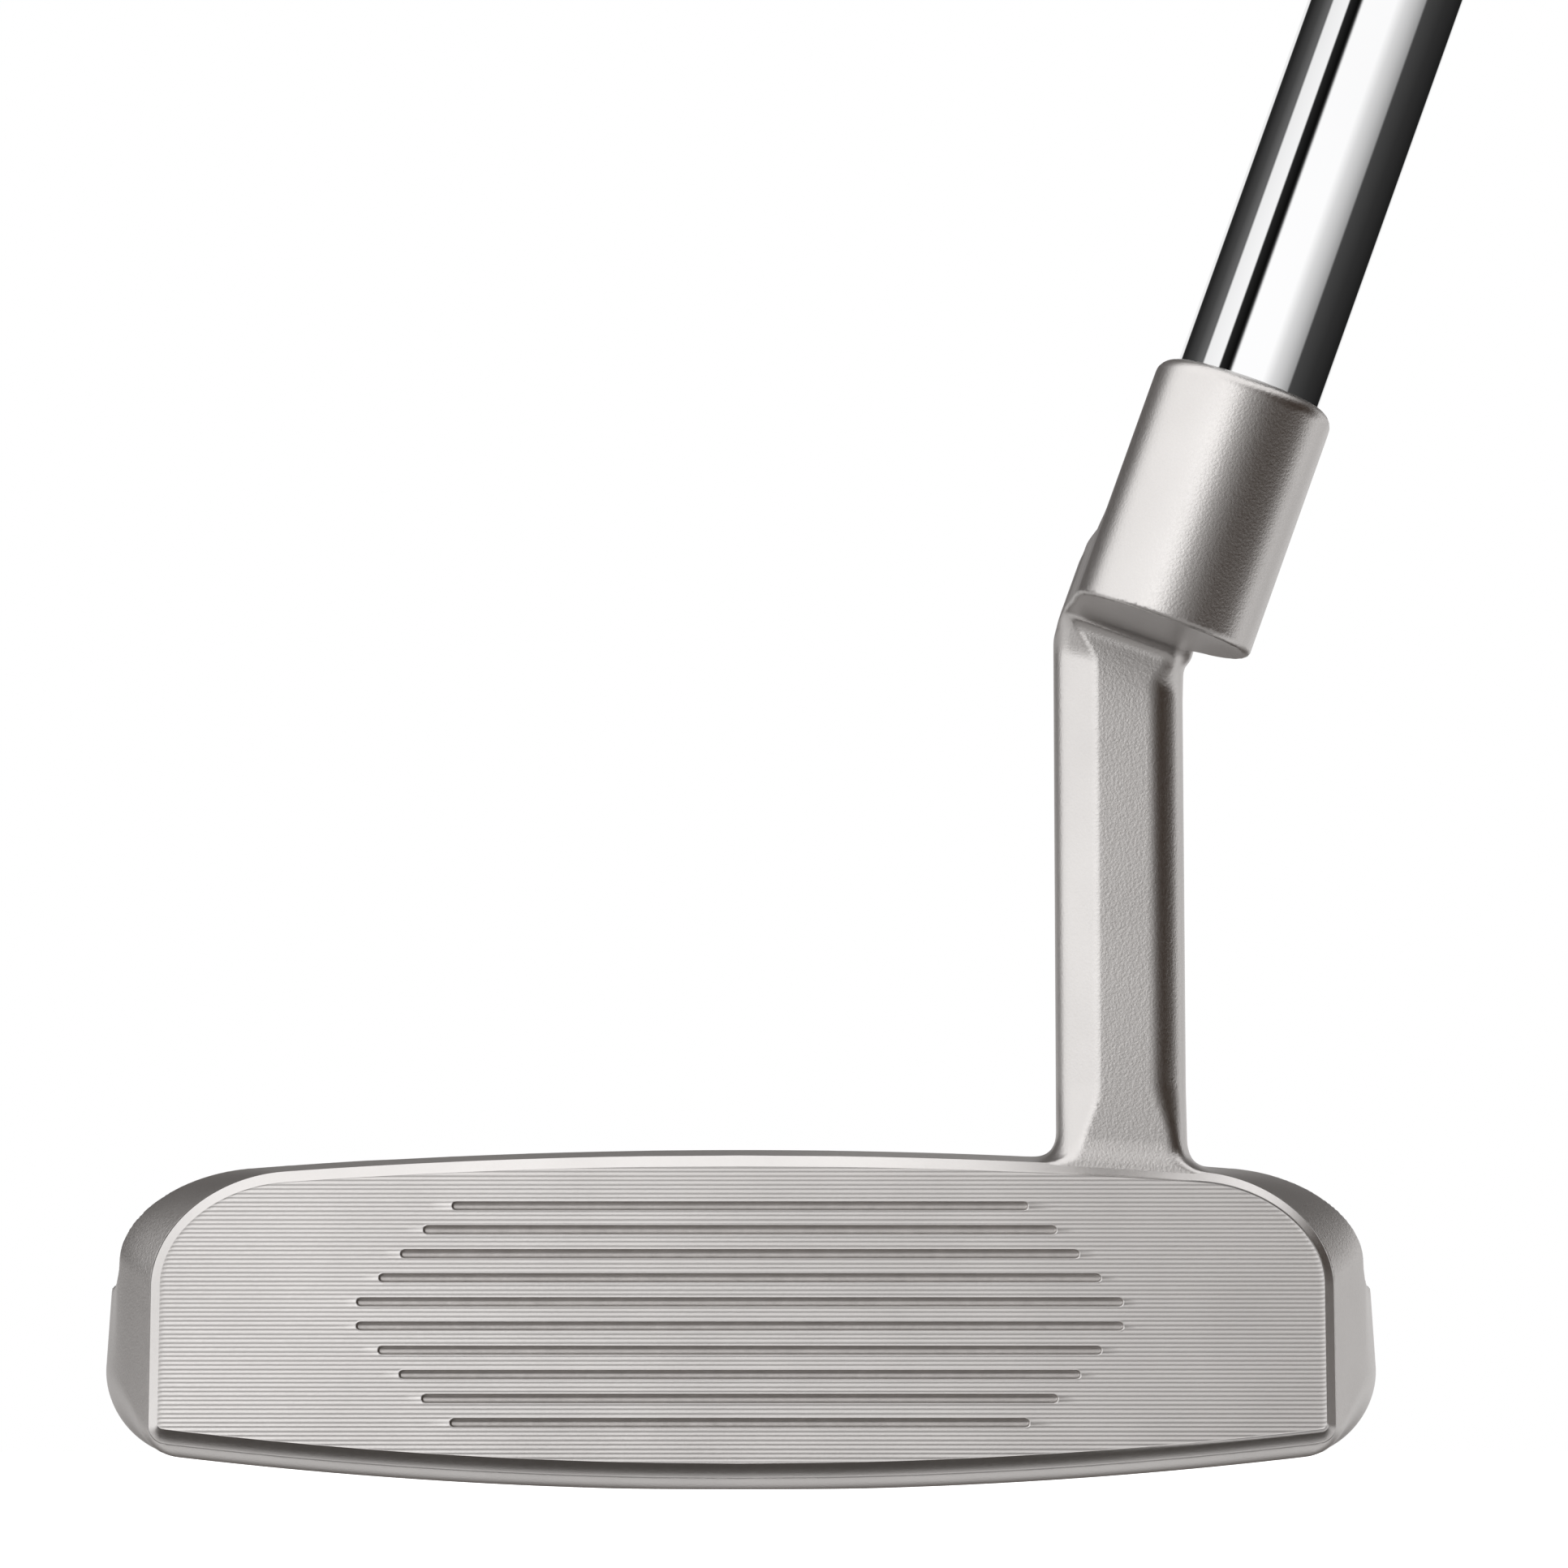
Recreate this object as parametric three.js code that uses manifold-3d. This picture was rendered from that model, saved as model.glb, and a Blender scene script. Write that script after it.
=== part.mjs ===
// Blade putter, right-handed: a steel head with a plumber's neck, a chromed shaft and a pistol grip.
// Millimetres, +Z up. The face looks along -Y, the toe is at -X and the heel, neck and player are at +X.
// The origin is the middle of the flat on the sole, on the ground when the head is soled.
import * as THREE from "three";
import { mergeVertices } from "three/addons/utils/BufferGeometryUtils.js";
import Module from "manifold-3d";

const wasm = await Module();
wasm.setup();

// ---- driving dimensions -------------------------------------------------------------------------

const LOFT_DEG = 3; // backward tilt of the face
const LEAN_DEG = 19.9; // shaft from the vertical, towards the heel: a lie of 70.1 degrees
const CLUB_LENGTH = 863.6; // ground to butt along the shaft, 34 inches
const FIT_GAP = 0.3; // clearance between pieces that are screwed, bonded or moulded together

const FACE_Y = -10.5; // face plane at the ground, in front of the origin
const HEAD_DEPTH = 24.5; // face to trailing edge
const FACE_HALF = 44.8; // half length of the milled face
const FACE_HEEL = 0.36; // the face reaches this much further at the heel
const BEVEL_DEPTH = 0.8; // front-to-back size of the face's edge bevel
const BEVEL_WIDTH = 0.75; // the same bevel across
const BODY_HALF = 50.2; // half length of the head at its widest
const FLARE_DEPTH = 13; // the ends widen over this depth
const FACE_CROWN = 24.8; // top of the milled face at its middle
const BEVEL_RISE = 1; // bevel along the top of the face
const TOPLINE_RISE = 0.75; // top line climbs by this much towards its back edge
const TOPLINE_DEPTH = 7.2; // thickness of the blade
const BACK_LEAN = 0.7; // the back of the blade leans by this share of the loft
const CROWN_RADIUS = 500; // camber of the top line along the head
const TOP_CORNER = { run: 10, faceRise: 7.6, backRise: 6.3 }; // the upper corners are quarter ellipses
const SOLE_RADIUS = 400; // camber of the sole along the head
const LEADING_RADIUS = 3.87; // roll of the leading edge
const LEADING_RUN = 3.42; // the roll ends this far behind the face, so it meets the face at an edge
const TRAILING_RADIUS = 3; // roll of the trailing edge
const SOLE_CORNER_FACE = 0.5; // lower corner radius at the face
const SOLE_CORNER_BACK = 5.7; // lower corner radius behind the flare
const SOLE_CORNER_DEPTH = 9; // the lower corner grows over this depth
const REAR_CORNER = 8.5; // plan radius of the two rear corners
const SOLE_FLAT = 0.06; // depth of the small flat that the head rests on

const BUMPER_TOP = 16.1; // height of the heel and toe bumpers behind the blade
const BUMPER_REAR = 10.5; // the same at the trailing edge
const BUMPER_LEVEL = 5; // the bumpers run level for this far behind the blade
const CLEAR = 60; // height that every cutter reaches past
const CAVITY_HALF = 23; // half length of the cavity at its floor
const CAVITY_FLOOR = 6.2; // height of the flange inside the cavity
const CAVITY_DRAFT = 3.4; // side walls lean out by this much at bumper height
const CAVITY_ROUND = 2.5; // radius along the foot of the walls

const GROOVE_HALVES = [22.3, 24.5, 26.25, 27.9, 29.6]; // half lengths of the upper five grooves
const GROOVE_TOP = 21.85; // height of the first groove
const GROOVE_PITCH = 1.855;
const GROOVE_WIDTH = 0.7;
const GROOVE_DEPTH = 0.5;

const LINE = { length: 11, width: 1.6, depth: 0.8, paintWidth: 1, paintDepth: 0.35, y: 15.5 };

const WEIGHT = { x: 35, y: 15, headRadius: 6.2, headHeight: 3, stemRadius: 3, stemHeight: 4.6 };
const WEIGHT_SOCKET = { acrossFlats: 4, depth: 2.4 };

const POST = { x: 29.82, half: 5.12, front: 2.3, back: 8.5, frontFlat: 2.5, backFlat: 3.2, chamfer: 1.9 };
const POST_FOOT = 1.6; // radius of the fillet at the foot of the post
const HOSEL_X = 32.45; // foot of the hosel's axis
const HOSEL_Z = 66;
const HOSEL_FORWARD = 6.5; // axis of the hosel in front of the face plane
const HOSEL = { radius: 7.1, length: 19.8, edge: 1.2, bore: 6.15, floor: 3.6 };
const ARM = { left: 7.7, right: 3.1, foot: 0.15, height: 8, round: 2 };

const SHAFT = { tip: 5.7, butt: 7.4, wall: 0.65, taperFrom: 250, taperTo: 520 };
const ADHESIVE = { inner: 5.8, outer: 6.05 };
const GRIP_LENGTH = 267;
const GRIP = { bore: 7.8, mouthRadius: 10, capHeight: 4.2, ventRadius: 1.2 };
const TAPE = { inner: 7.5, outer: 7.7 };
const ROUND_SIDES = 48; // sides of every round piece
const WELD = 2e-3; // points closer than this are one point

// ---- helpers ------------------------------------------------------------------------------------

const radians = THREE.MathUtils.degToRad;
const lerp = THREE.MathUtils.lerp;
const tanLoft = Math.tan(radians(LOFT_DEG));

/** Closed three.js geometry as a solid. */
function solid(geometry) {
  const plain = geometry.clone();
  plain.deleteAttribute("normal");
  plain.deleteAttribute("uv");
  const merged = mergeVertices(plain, 1e-4);
  const made = new wasm.Manifold(
    new wasm.Mesh({
      numProp: 3,
      vertProperties: new Float32Array(merged.attributes.position.array),
      triVerts: new Uint32Array(merged.index.array),
    }),
  );
  return made;
}

/** Solid back to a three.js geometry, without the hair-thin triangles that joins and cuts leave. */
function geometryOf(body) {
  const mesh = body.getMesh();
  const raw = new THREE.BufferGeometry();
  raw.setAttribute("position", new THREE.BufferAttribute(new Float32Array(mesh.vertProperties), 3));
  raw.setIndex(new THREE.BufferAttribute(new Uint32Array(mesh.triVerts), 1));
  const geometry = mergeVertices(raw, WELD);
  const corners = geometry.index.array;
  const kept = [];
  for (let i = 0; i < corners.length; i += 3) {
    const [a, b, c] = corners.subarray(i, i + 3);
    if (a !== b && b !== c && c !== a) kept.push(a, b, c);
  }
  geometry.setIndex(kept);
  geometry.computeVertexNormals();
  return geometry;
}

/** Skin over rings of points that all have the same count, closed by a fan at each end. */
function loft(rings) {
  const count = rings[0].length;
  const points = rings.flat();
  const index = [];
  for (let r = 0; r < rings.length - 1; r++) {
    for (let i = 0; i < count; i++) {
      const a = r * count + i;
      const b = r * count + ((i + 1) % count);
      index.push(a, b, a + count);
      index.push(b, b + count, a + count);
    }
  }
  const last = (rings.length - 1) * count;
  const middle = (ring) => ring.reduce((sum, p) => sum.add(p), new THREE.Vector3()).divideScalar(count);
  points.push(middle(rings[0]), middle(rings.at(-1)));
  for (let i = 0; i < count; i++) {
    const j = (i + 1) % count;
    index.push(j, i, points.length - 2);
    index.push(last + i, last + j, points.length - 1);
  }
  const geometry = new THREE.BufferGeometry().setFromPoints(points);
  geometry.setIndex(index);
  return geometry;
}

/** Flat outline pushed along +Y from y0 to y1; the outline is in x and z. */
function slab(outline, y0, y1) {
  const geometry = new THREE.ExtrudeGeometry(new THREE.Shape(outline), {
    depth: y1 - y0,
    bevelEnabled: false,
    curveSegments: 6,
  });
  geometry.rotateX(Math.PI / 2);
  geometry.translate(0, y1, 0);
  return geometry;
}

/** Points of a round or elliptical arc about a centre, from one angle to another in degrees. */
function arc(cx, cy, radius, from, to, steps, rise = radius) {
  const points = [];
  for (let i = 0; i <= steps; i++) {
    const angle = radians(lerp(from, to, i / steps));
    points.push(new THREE.Vector2(cx + radius * Math.cos(angle), cy + rise * Math.sin(angle)));
  }
  return points;
}

/** Closed profile of radius and height turned about +Z. */
function turned(profile) {
  const points = profile.map(([r, z]) => new THREE.Vector2(r, z));
  points.push(points[0].clone());
  const geometry = new THREE.LatheGeometry(points, ROUND_SIDES);
  geometry.rotateX(Math.PI / 2);
  return geometry;
}

/** Ring between two radii and two heights. */
const sleeve = (inner, outer, z0, z1) => turned([[inner, z0], [outer, z0], [outer, z1], [inner, z1]]);

/** Round bar from the axis out. */
const bar = (radius, z0, z1) => turned([[0, z0], [radius, z0], [radius, z1], [0, z1]]);

// ---- head ---------------------------------------------------------------------------------------

/** Length of the head from its middle to one end, at a depth behind the face. */
function halfAt(depth, faceHalf) {
  if (depth < BEVEL_DEPTH) return faceHalf + (BEVEL_WIDTH * depth) / BEVEL_DEPTH;
  const flare = Math.min(1, (depth - BEVEL_DEPTH) / FLARE_DEPTH);
  const start = faceHalf + BEVEL_WIDTH;
  const half = lerp(start, BODY_HALF, Math.sin((flare * Math.PI) / 2));
  const past = depth - (HEAD_DEPTH - REAR_CORNER);
  return past > 0 ? half - REAR_CORNER + Math.sqrt(REAR_CORNER ** 2 - past ** 2) : half;
}

/** Height of the top line's middle at a depth. */
function crownAt(depth) {
  if (depth < BEVEL_DEPTH) return FACE_CROWN + (BEVEL_RISE * depth) / BEVEL_DEPTH;
  return FACE_CROWN + BEVEL_RISE + (TOPLINE_RISE * (depth - BEVEL_DEPTH)) / (TOPLINE_DEPTH - BEVEL_DEPTH);
}

/** Height of the sole's middle at a depth: a roll at each edge and level between. */
function soleAt(depth) {
  const roll = (radius, past) => radius - Math.sqrt(radius ** 2 - past ** 2);
  if (depth < LEADING_RUN) return roll(LEADING_RADIUS, LEADING_RUN - depth);
  const past = depth - (HEAD_DEPTH - TRAILING_RADIUS);
  return past > 0 ? roll(TRAILING_RADIUS, past) : 0;
}

/** Outline of the head across its length, at one depth behind the face. */
function headRing(depth) {
  const toe = halfAt(depth, FACE_HALF);
  const heel = halfAt(depth, FACE_HALF + FACE_HEEL);
  const crown = crownAt(depth);
  const { run, faceRise, backRise } = TOP_CORNER;
  const rise = lerp(faceRise, backRise, Math.min(1, depth / TOPLINE_DEPTH));
  const low = lerp(SOLE_CORNER_FACE, SOLE_CORNER_BACK, Math.sin((Math.min(1, depth / SOLE_CORNER_DEPTH) * Math.PI) / 2));
  const steps = 16;
  const outline = [];
  const topAt = (x) => crown - x ** 2 / (2 * CROWN_RADIUS);
  const lowAt = (x) => soleAt(depth) + x ** 2 / (2 * SOLE_RADIUS);
  for (let i = 1; i < steps; i++) {
    const x = lerp(run - toe, heel - run, i / steps);
    outline.push(new THREE.Vector2(x, topAt(x)));
  }
  outline.push(...arc(heel - run, topAt(heel - run) - rise, run, 90, 0, 7, rise));
  outline.push(...arc(heel - low, lowAt(heel - low) + low, low, 0, -90, 5));
  for (let i = 1; i < steps; i++) {
    const x = lerp(heel - low, low - toe, i / steps);
    outline.push(new THREE.Vector2(x, lowAt(x)));
  }
  outline.push(...arc(low - toe, lowAt(toe - low) + low, low, 270, 180, 5));
  outline.push(...arc(run - toe, topAt(toe - run) - rise, run, 180, 90, 7, rise));
  // The front sections lean back with the face; the rear ones stand upright.
  const lean = tanLoft * Math.max(0, 1 - depth / HEAD_DEPTH);
  return outline.map((p) => new THREE.Vector3(p.x, FACE_Y + depth + p.y * lean, p.y));
}

/** Plane of the blade's back at a height. */
const backAt = (z) => FACE_Y + TOPLINE_DEPTH + z * tanLoft * BACK_LEAN;

/** Side view, in depth and height, pushed along the whole head. */
function alongHead(side) {
  const length = 2 * BODY_HALF + 20;
  const geometry = new THREE.ExtrudeGeometry(side, { depth: length, bevelEnabled: false, curveSegments: 6 });
  geometry.rotateX(Math.PI / 2);
  geometry.rotateZ(Math.PI / 2);
  geometry.translate(-length / 2, 0, 0);
  return geometry;
}

/** Block that clears everything above the bumpers behind the blade. */
function bumperCut() {
  const rear = FACE_Y + HEAD_DEPTH;
  const back = backAt(BUMPER_TOP);
  const side = new THREE.Shape();
  side.moveTo(backAt(CLEAR), CLEAR);
  side.lineTo(backAt(BUMPER_TOP + 1), BUMPER_TOP + 1);
  side.quadraticCurveTo(back, BUMPER_TOP, back + 1, BUMPER_TOP);
  side.lineTo(back + BUMPER_LEVEL, BUMPER_TOP);
  side.quadraticCurveTo(back + 11, BUMPER_TOP - 0.6, rear + 1, BUMPER_REAR);
  side.lineTo(rear + 20, BUMPER_REAR);
  side.lineTo(rear + 20, CLEAR);
  return solid(alongHead(side));
}

/** Cavity between the bumpers, open at the back and at the top. */
function cavityCut() {
  const foot = backAt(CAVITY_FLOOR);
  const side = new THREE.Shape();
  side.moveTo(backAt(CLEAR), CLEAR);
  side.lineTo(backAt(CAVITY_FLOOR + CAVITY_ROUND), CAVITY_FLOOR + CAVITY_ROUND);
  side.quadraticCurveTo(foot, CAVITY_FLOOR, foot + CAVITY_ROUND, CAVITY_FLOOR);
  side.lineTo(foot + HEAD_DEPTH, CAVITY_FLOOR);
  side.lineTo(foot + HEAD_DEPTH, CLEAR);
  const lean = CAVITY_DRAFT / (BUMPER_TOP - CAVITY_FLOOR);
  const outline = new THREE.Shape();
  const topHalf = CAVITY_HALF + lean * (CLEAR - CAVITY_FLOOR);
  outline.moveTo(-topHalf, CLEAR);
  outline.lineTo(-CAVITY_HALF - lean * CAVITY_ROUND, CAVITY_FLOOR + CAVITY_ROUND);
  outline.quadraticCurveTo(-CAVITY_HALF, CAVITY_FLOOR, -CAVITY_HALF + CAVITY_ROUND, CAVITY_FLOOR);
  outline.lineTo(CAVITY_HALF - CAVITY_ROUND, CAVITY_FLOOR);
  outline.quadraticCurveTo(CAVITY_HALF, CAVITY_FLOOR, CAVITY_HALF + lean * CAVITY_ROUND, CAVITY_FLOOR + CAVITY_ROUND);
  outline.lineTo(topHalf, CLEAR);
  const ends = solid(slab(outline.getPoints(6), FACE_Y, FACE_Y + HEAD_DEPTH + 10));
  return ends.intersect(solid(alongHead(side)));
}

/** The ten round-ended grooves of the face, as one group of cutters. */
function grooveCuts() {
  const halves = [...GROOVE_HALVES, ...GROOVE_HALVES.toReversed()];
  const end = GROOVE_WIDTH / 2;
  return halves.map((half, row) => {
    const z = GROOVE_TOP - row * GROOVE_PITCH;
    const outline = [...arc(half - end, 0, end, -90, 90, 6), ...arc(end - half, 0, end, 90, 270, 6)];
    const geometry = slab(outline, -2, GROOVE_DEPTH);
    geometry.rotateX(-radians(LOFT_DEG));
    geometry.translate(0, FACE_Y + z * tanLoft, z);
    return solid(geometry);
  });
}

/** Places a piece drawn about +Z on one of the two weight axes, +Z pointing out of the sole. */
function onWeightAxis(geometry, sign) {
  const x = sign * WEIGHT.x;
  const slope = Math.asin(WEIGHT.x / SOLE_RADIUS);
  geometry.rotateX(Math.PI);
  geometry.rotateY(-sign * slope);
  geometry.translate(x, FACE_Y + WEIGHT.y, x ** 2 / (2 * SOLE_RADIUS));
  return geometry;
}

/** Stepped pocket for a weight screw, measured inwards from the sole. */
function weightPocket(sign) {
  const wide = WEIGHT.headRadius + FIT_GAP;
  const narrow = WEIGHT.stemRadius + FIT_GAP;
  const shoulder = -WEIGHT.headHeight - 2 * FIT_GAP;
  const bottom = shoulder - WEIGHT.stemHeight - FIT_GAP;
  const profile = [[0, bottom], [narrow, bottom], [narrow, shoulder], [wide, shoulder], [wide, 3], [0, 3]];
  return solid(onWeightAxis(turned(profile), sign));
}

// ---- neck ---------------------------------------------------------------------------------------

/** Eight-sided section of the post, grown outwards by a margin. */
function postSection(margin) {
  const front = FACE_Y + POST.front - margin;
  const back = FACE_Y + POST.back + margin;
  const half = POST.half + margin;
  const corners = [
    [-POST.frontFlat, front],
    [POST.frontFlat, front],
    [half, front + POST.chamfer],
    [half, back - POST.chamfer],
    [POST.backFlat, back],
    [-POST.backFlat, back],
    [-half, back - POST.chamfer],
    [-half, front + POST.chamfer],
  ];
  return corners.map(([x, y]) => new THREE.Vector2(POST.x + x, y));
}

/** Post from inside the top line up into the arm, its foot spread by a fillet. */
function postBody() {
  const foot = crownAt(POST.front) - POST.x ** 2 / (2 * CROWN_RADIUS);
  const levels = [{ z: foot - 1.5, margin: 0 }];
  const steps = 5;
  for (let i = 0; i <= steps; i++) {
    const angle = (i / steps) * (Math.PI / 2);
    levels.push({
      z: foot + POST_FOOT * (1 - Math.cos(angle)),
      margin: POST_FOOT * (1 - Math.sin(angle)),
    });
  }
  // The foot stays within the blade: its spread stops at the front and back edges of the top line.
  const front = FACE_Y + POST.front;
  const back = Math.max(backAt(foot), FACE_Y + POST.back);
  const rings = levels.map(({ z, margin }) =>
    postSection(margin).map((p) => new THREE.Vector3(p.x, THREE.MathUtils.clamp(p.y, front, back), z)),
  );
  // The top end slopes with the arm, just inside it.
  const slope = Math.tan(radians(LEAN_DEG));
  rings.push(postSection(0).map((p) => new THREE.Vector3(p.x, p.y, HOSEL_Z + 1 + (HOSEL_X - p.x) * slope)));
  return rings;
}

/** Puts a piece drawn about +Z, with z = 0 at the hosel's foot, on the shaft's axis. */
function onShaftAxis(object) {
  object.rotateY(radians(LEAN_DEG));
  object.translate(HOSEL_X, FACE_Y - HOSEL_FORWARD, HOSEL_Z);
  return object;
}

/** Arm that carries the hosel forward from the top of the post. */
function armBody() {
  const r = ARM.round;
  const outline = [
    new THREE.Vector2(-ARM.left, ARM.foot),
    ...arc(ARM.right - r * 0.5, ARM.foot + r * 0.5, r * 0.5, -90, 0, 3),
    ...arc(ARM.right - r, ARM.height - r, r, 0, 90, 4),
    ...arc(-ARM.left + r, ARM.height - r, r, 90, 180, 4),
  ];
  const depth = HOSEL_FORWARD + POST.back;
  return onShaftAxis(slab(outline, 0, depth));
}

/** Hosel with rounded rims; its bore is cut afterwards, so that the arm doesn't fill it. */
function hoselBody() {
  const { radius, length, edge } = HOSEL;
  const rim = (angle) => [radius - edge + edge * Math.cos(angle), edge * Math.sin(angle)];
  const profile = [[0, 0]];
  for (let i = 0; i <= 3; i++) {
    const [r, z] = rim(radians(-90 + 30 * i));
    profile.push([r, edge * 0.5 + z * 0.5]);
  }
  for (let i = 0; i <= 4; i++) {
    const [r, z] = rim(radians(22.5 * i));
    profile.push([r, length - edge + z]);
  }
  profile.push([0, length]);
  return onShaftAxis(turned(profile));
}

function headCasting() {
  const depths = [0, BEVEL_DEPTH, 1.4, 2.1, LEADING_RUN, 5, 7, 9, 11.5, 14, 16, 18.5, 21, 22.8, 24, HEAD_DEPTH];
  let body = solid(loft(depths.map(headRing)));
  body = body.subtract(bumperCut()).subtract(cavityCut());
  for (const groove of grooveCuts()) body = body.subtract(groove);
  for (const sign of [-1, 1]) body = body.subtract(weightPocket(sign));
  const line = new THREE.BoxGeometry(LINE.width, LINE.length, 2 * LINE.depth);
  line.translate(0, FACE_Y + LINE.y, CAVITY_FLOOR);
  body = body.subtract(solid(line));
  const ground = new THREE.BoxGeometry(3 * BODY_HALF, 3 * HEAD_DEPTH, 10);
  ground.translate(0, 0, SOLE_FLAT - 5);
  body = body.subtract(solid(ground));
  body = body.add(solid(loft(postBody()))).add(solid(armBody())).add(solid(hoselBody()));
  const bore = onShaftAxis(bar(HOSEL.bore, HOSEL.floor, HOSEL.length + 5));
  body = body.subtract(solid(bore));
  const geometry = geometryOf(body);
  geometry.translate(0, 0, -SOLE_FLAT);
  return geometry;
}

// ---- small pieces of the head --------------------------------------------------------------------

/** Weight screw: wide head flush with the sole, plain stem, hexagonal socket. */
function weightScrew(sign) {
  const { headRadius, headHeight, stemRadius, stemHeight } = WEIGHT;
  const shoulder = -headHeight - FIT_GAP;
  const profile = [
    [0, shoulder - stemHeight],
    [stemRadius - 0.4, shoulder - stemHeight],
    [stemRadius, shoulder - stemHeight + 0.4],
    [stemRadius, shoulder],
    [headRadius, shoulder],
    [headRadius, -FIT_GAP - 0.4],
    [headRadius - 0.4, -FIT_GAP],
    [0, -FIT_GAP],
  ];
  const socketRadius = WEIGHT_SOCKET.acrossFlats / Math.sqrt(3);
  const socket = new THREE.CylinderGeometry(socketRadius, socketRadius, 2 * WEIGHT_SOCKET.depth, 6);
  socket.rotateX(Math.PI / 2);
  socket.translate(0, 0, -FIT_GAP);
  const screw = solid(turned(profile)).subtract(solid(socket));
  const geometry = onWeightAxis(geometryOf(screw), sign);
  geometry.translate(0, 0, -SOLE_FLAT);
  return geometry;
}

/** Paint that fills the sight line on the flange. */
function sightLine() {
  const length = LINE.length - 2 * FIT_GAP;
  const geometry = new THREE.BoxGeometry(LINE.paintWidth, length, LINE.paintDepth);
  geometry.translate(0, FACE_Y + LINE.y, CAVITY_FLOOR - LINE.depth + FIT_GAP + LINE.paintDepth / 2 - SOLE_FLAT);
  return geometry;
}

// ---- shaft and grip -----------------------------------------------------------------------------

const HOSEL_TO_GROUND = HOSEL_Z / Math.cos(radians(LEAN_DEG));
const BUTT = CLUB_LENGTH - HOSEL_TO_GROUND; // top of the grip cap above the hosel's foot
const SHAFT_END = BUTT - GRIP.capHeight - FIT_GAP;
const GRIP_FROM = BUTT - GRIP_LENGTH;

function shaftTube() {
  const from = HOSEL.floor + FIT_GAP;
  const { tip, butt, wall, taperFrom, taperTo } = SHAFT;
  return turned([
    [tip, from],
    [tip, taperFrom],
    [butt, taperTo],
    [butt, SHAFT_END],
    [butt - wall, SHAFT_END],
    [butt - wall, taperTo],
    [tip - wall, taperFrom],
    [tip - wall, from],
  ]);
}

/** Section of the pistol grip: round with a flat for the thumbs, fuller at the back near the butt. */
function gripRing(z) {
  const t = (z - GRIP_FROM) / (BUTT - GRIP_FROM);
  const swell = THREE.MathUtils.smoothstep(t, 0.55, 0.93);
  const front = lerp(GRIP.mouthRadius, 11.2, Math.min(1, t * 3));
  const side = lerp(GRIP.mouthRadius, 12.6, Math.min(1, t * 1.6));
  const back = lerp(GRIP.mouthRadius, 13, t) + 5.5 * swell;
  const flat = lerp(0.2, 1, Math.min(1, t * 6));
  const ring = [];
  const count = 32;
  for (let i = 0; i < count; i++) {
    const angle = (i / count) * 2 * Math.PI;
    const c = Math.cos(angle);
    const s = Math.sin(angle);
    // The thumb flat faces the toe, at -X before the piece is turned onto the shaft's axis.
    const power = lerp(1, 0.55, flat);
    const x = c < 0 ? -front * Math.abs(c) ** power : back * c;
    ring.push(new THREE.Vector3(x, side * s, z));
  }
  return ring;
}

function gripSleeve() {
  const levels = [GRIP_FROM, GRIP_FROM + 12];
  const top = BUTT - GRIP.capHeight - FIT_GAP;
  const steps = 14;
  for (let i = 1; i <= steps; i++) levels.push(lerp(GRIP_FROM + 12, top, i / steps));
  const outside = solid(loft(levels.map(gripRing)));
  const bore = solid(bar(GRIP.bore, GRIP_FROM - 5, BUTT + 5));
  return geometryOf(outside.subtract(bore));
}

function gripCap() {
  const from = BUTT - GRIP.capHeight;
  const shrink = (z, k) => gripRing(z).map((p) => new THREE.Vector3(p.x * k, p.y * k, p.z));
  const rings = [shrink(from, 1), shrink(from + 2.4, 0.99), shrink(from + 3.5, 0.94), shrink(BUTT, 0.8)];
  const vent = solid(bar(GRIP.ventRadius, from - 5, BUTT + 5));
  return geometryOf(solid(loft(rings)).subtract(vent));
}

// ---- materials ----------------------------------------------------------------------------------

const metal = (color, roughness) => new THREE.MeshStandardMaterial({ color, roughness, metalness: 1 });
const plain = (color, roughness) => new THREE.MeshStandardMaterial({ color, roughness, metalness: 0 });

// ---- assembly -----------------------------------------------------------------------------------

const putter = new THREE.Group();
putter.name = "blade_putter";

/** Adds one named piece to a group. */
function place(group, name, geometry, material) {
  const mesh = new THREE.Mesh(geometry, material);
  mesh.name = name;
  group.add(mesh);
}

place(putter, "head_casting", headCasting(), metal(0xb4afaa, 0.38));
place(putter, "sight_line", sightLine(), plain(0x151515, 0.6));
place(putter, "weight_screw_toe", weightScrew(-1), metal(0xa9a6a2, 0.3));
place(putter, "weight_screw_heel", weightScrew(1), metal(0xa9a6a2, 0.3));

const onAxis = new THREE.Group();
onAxis.position.set(HOSEL_X, FACE_Y - HOSEL_FORWARD, HOSEL_Z - SOLE_FLAT);
onAxis.rotation.y = radians(LEAN_DEG);
putter.add(onAxis);

const adhesive = sleeve(ADHESIVE.inner, ADHESIVE.outer, HOSEL.floor + 2 * FIT_GAP, HOSEL.length - 1);
const tape = sleeve(TAPE.inner, TAPE.outer, GRIP_FROM + 4, SHAFT_END - 1);
place(onAxis, "hosel_adhesive", adhesive, plain(0xc9b98a, 0.5));
place(onAxis, "shaft_tube", shaftTube(), metal(0xe8e8ea, 0.08));
place(onAxis, "grip_tape", tape, plain(0xd8d0b8, 0.8));
place(onAxis, "grip_sleeve", gripSleeve(), plain(0x1c1c1d, 0.85));
place(onAxis, "grip_end_cap", gripCap(), plain(0x202021, 0.7));

export default putter;
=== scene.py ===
import math

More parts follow.
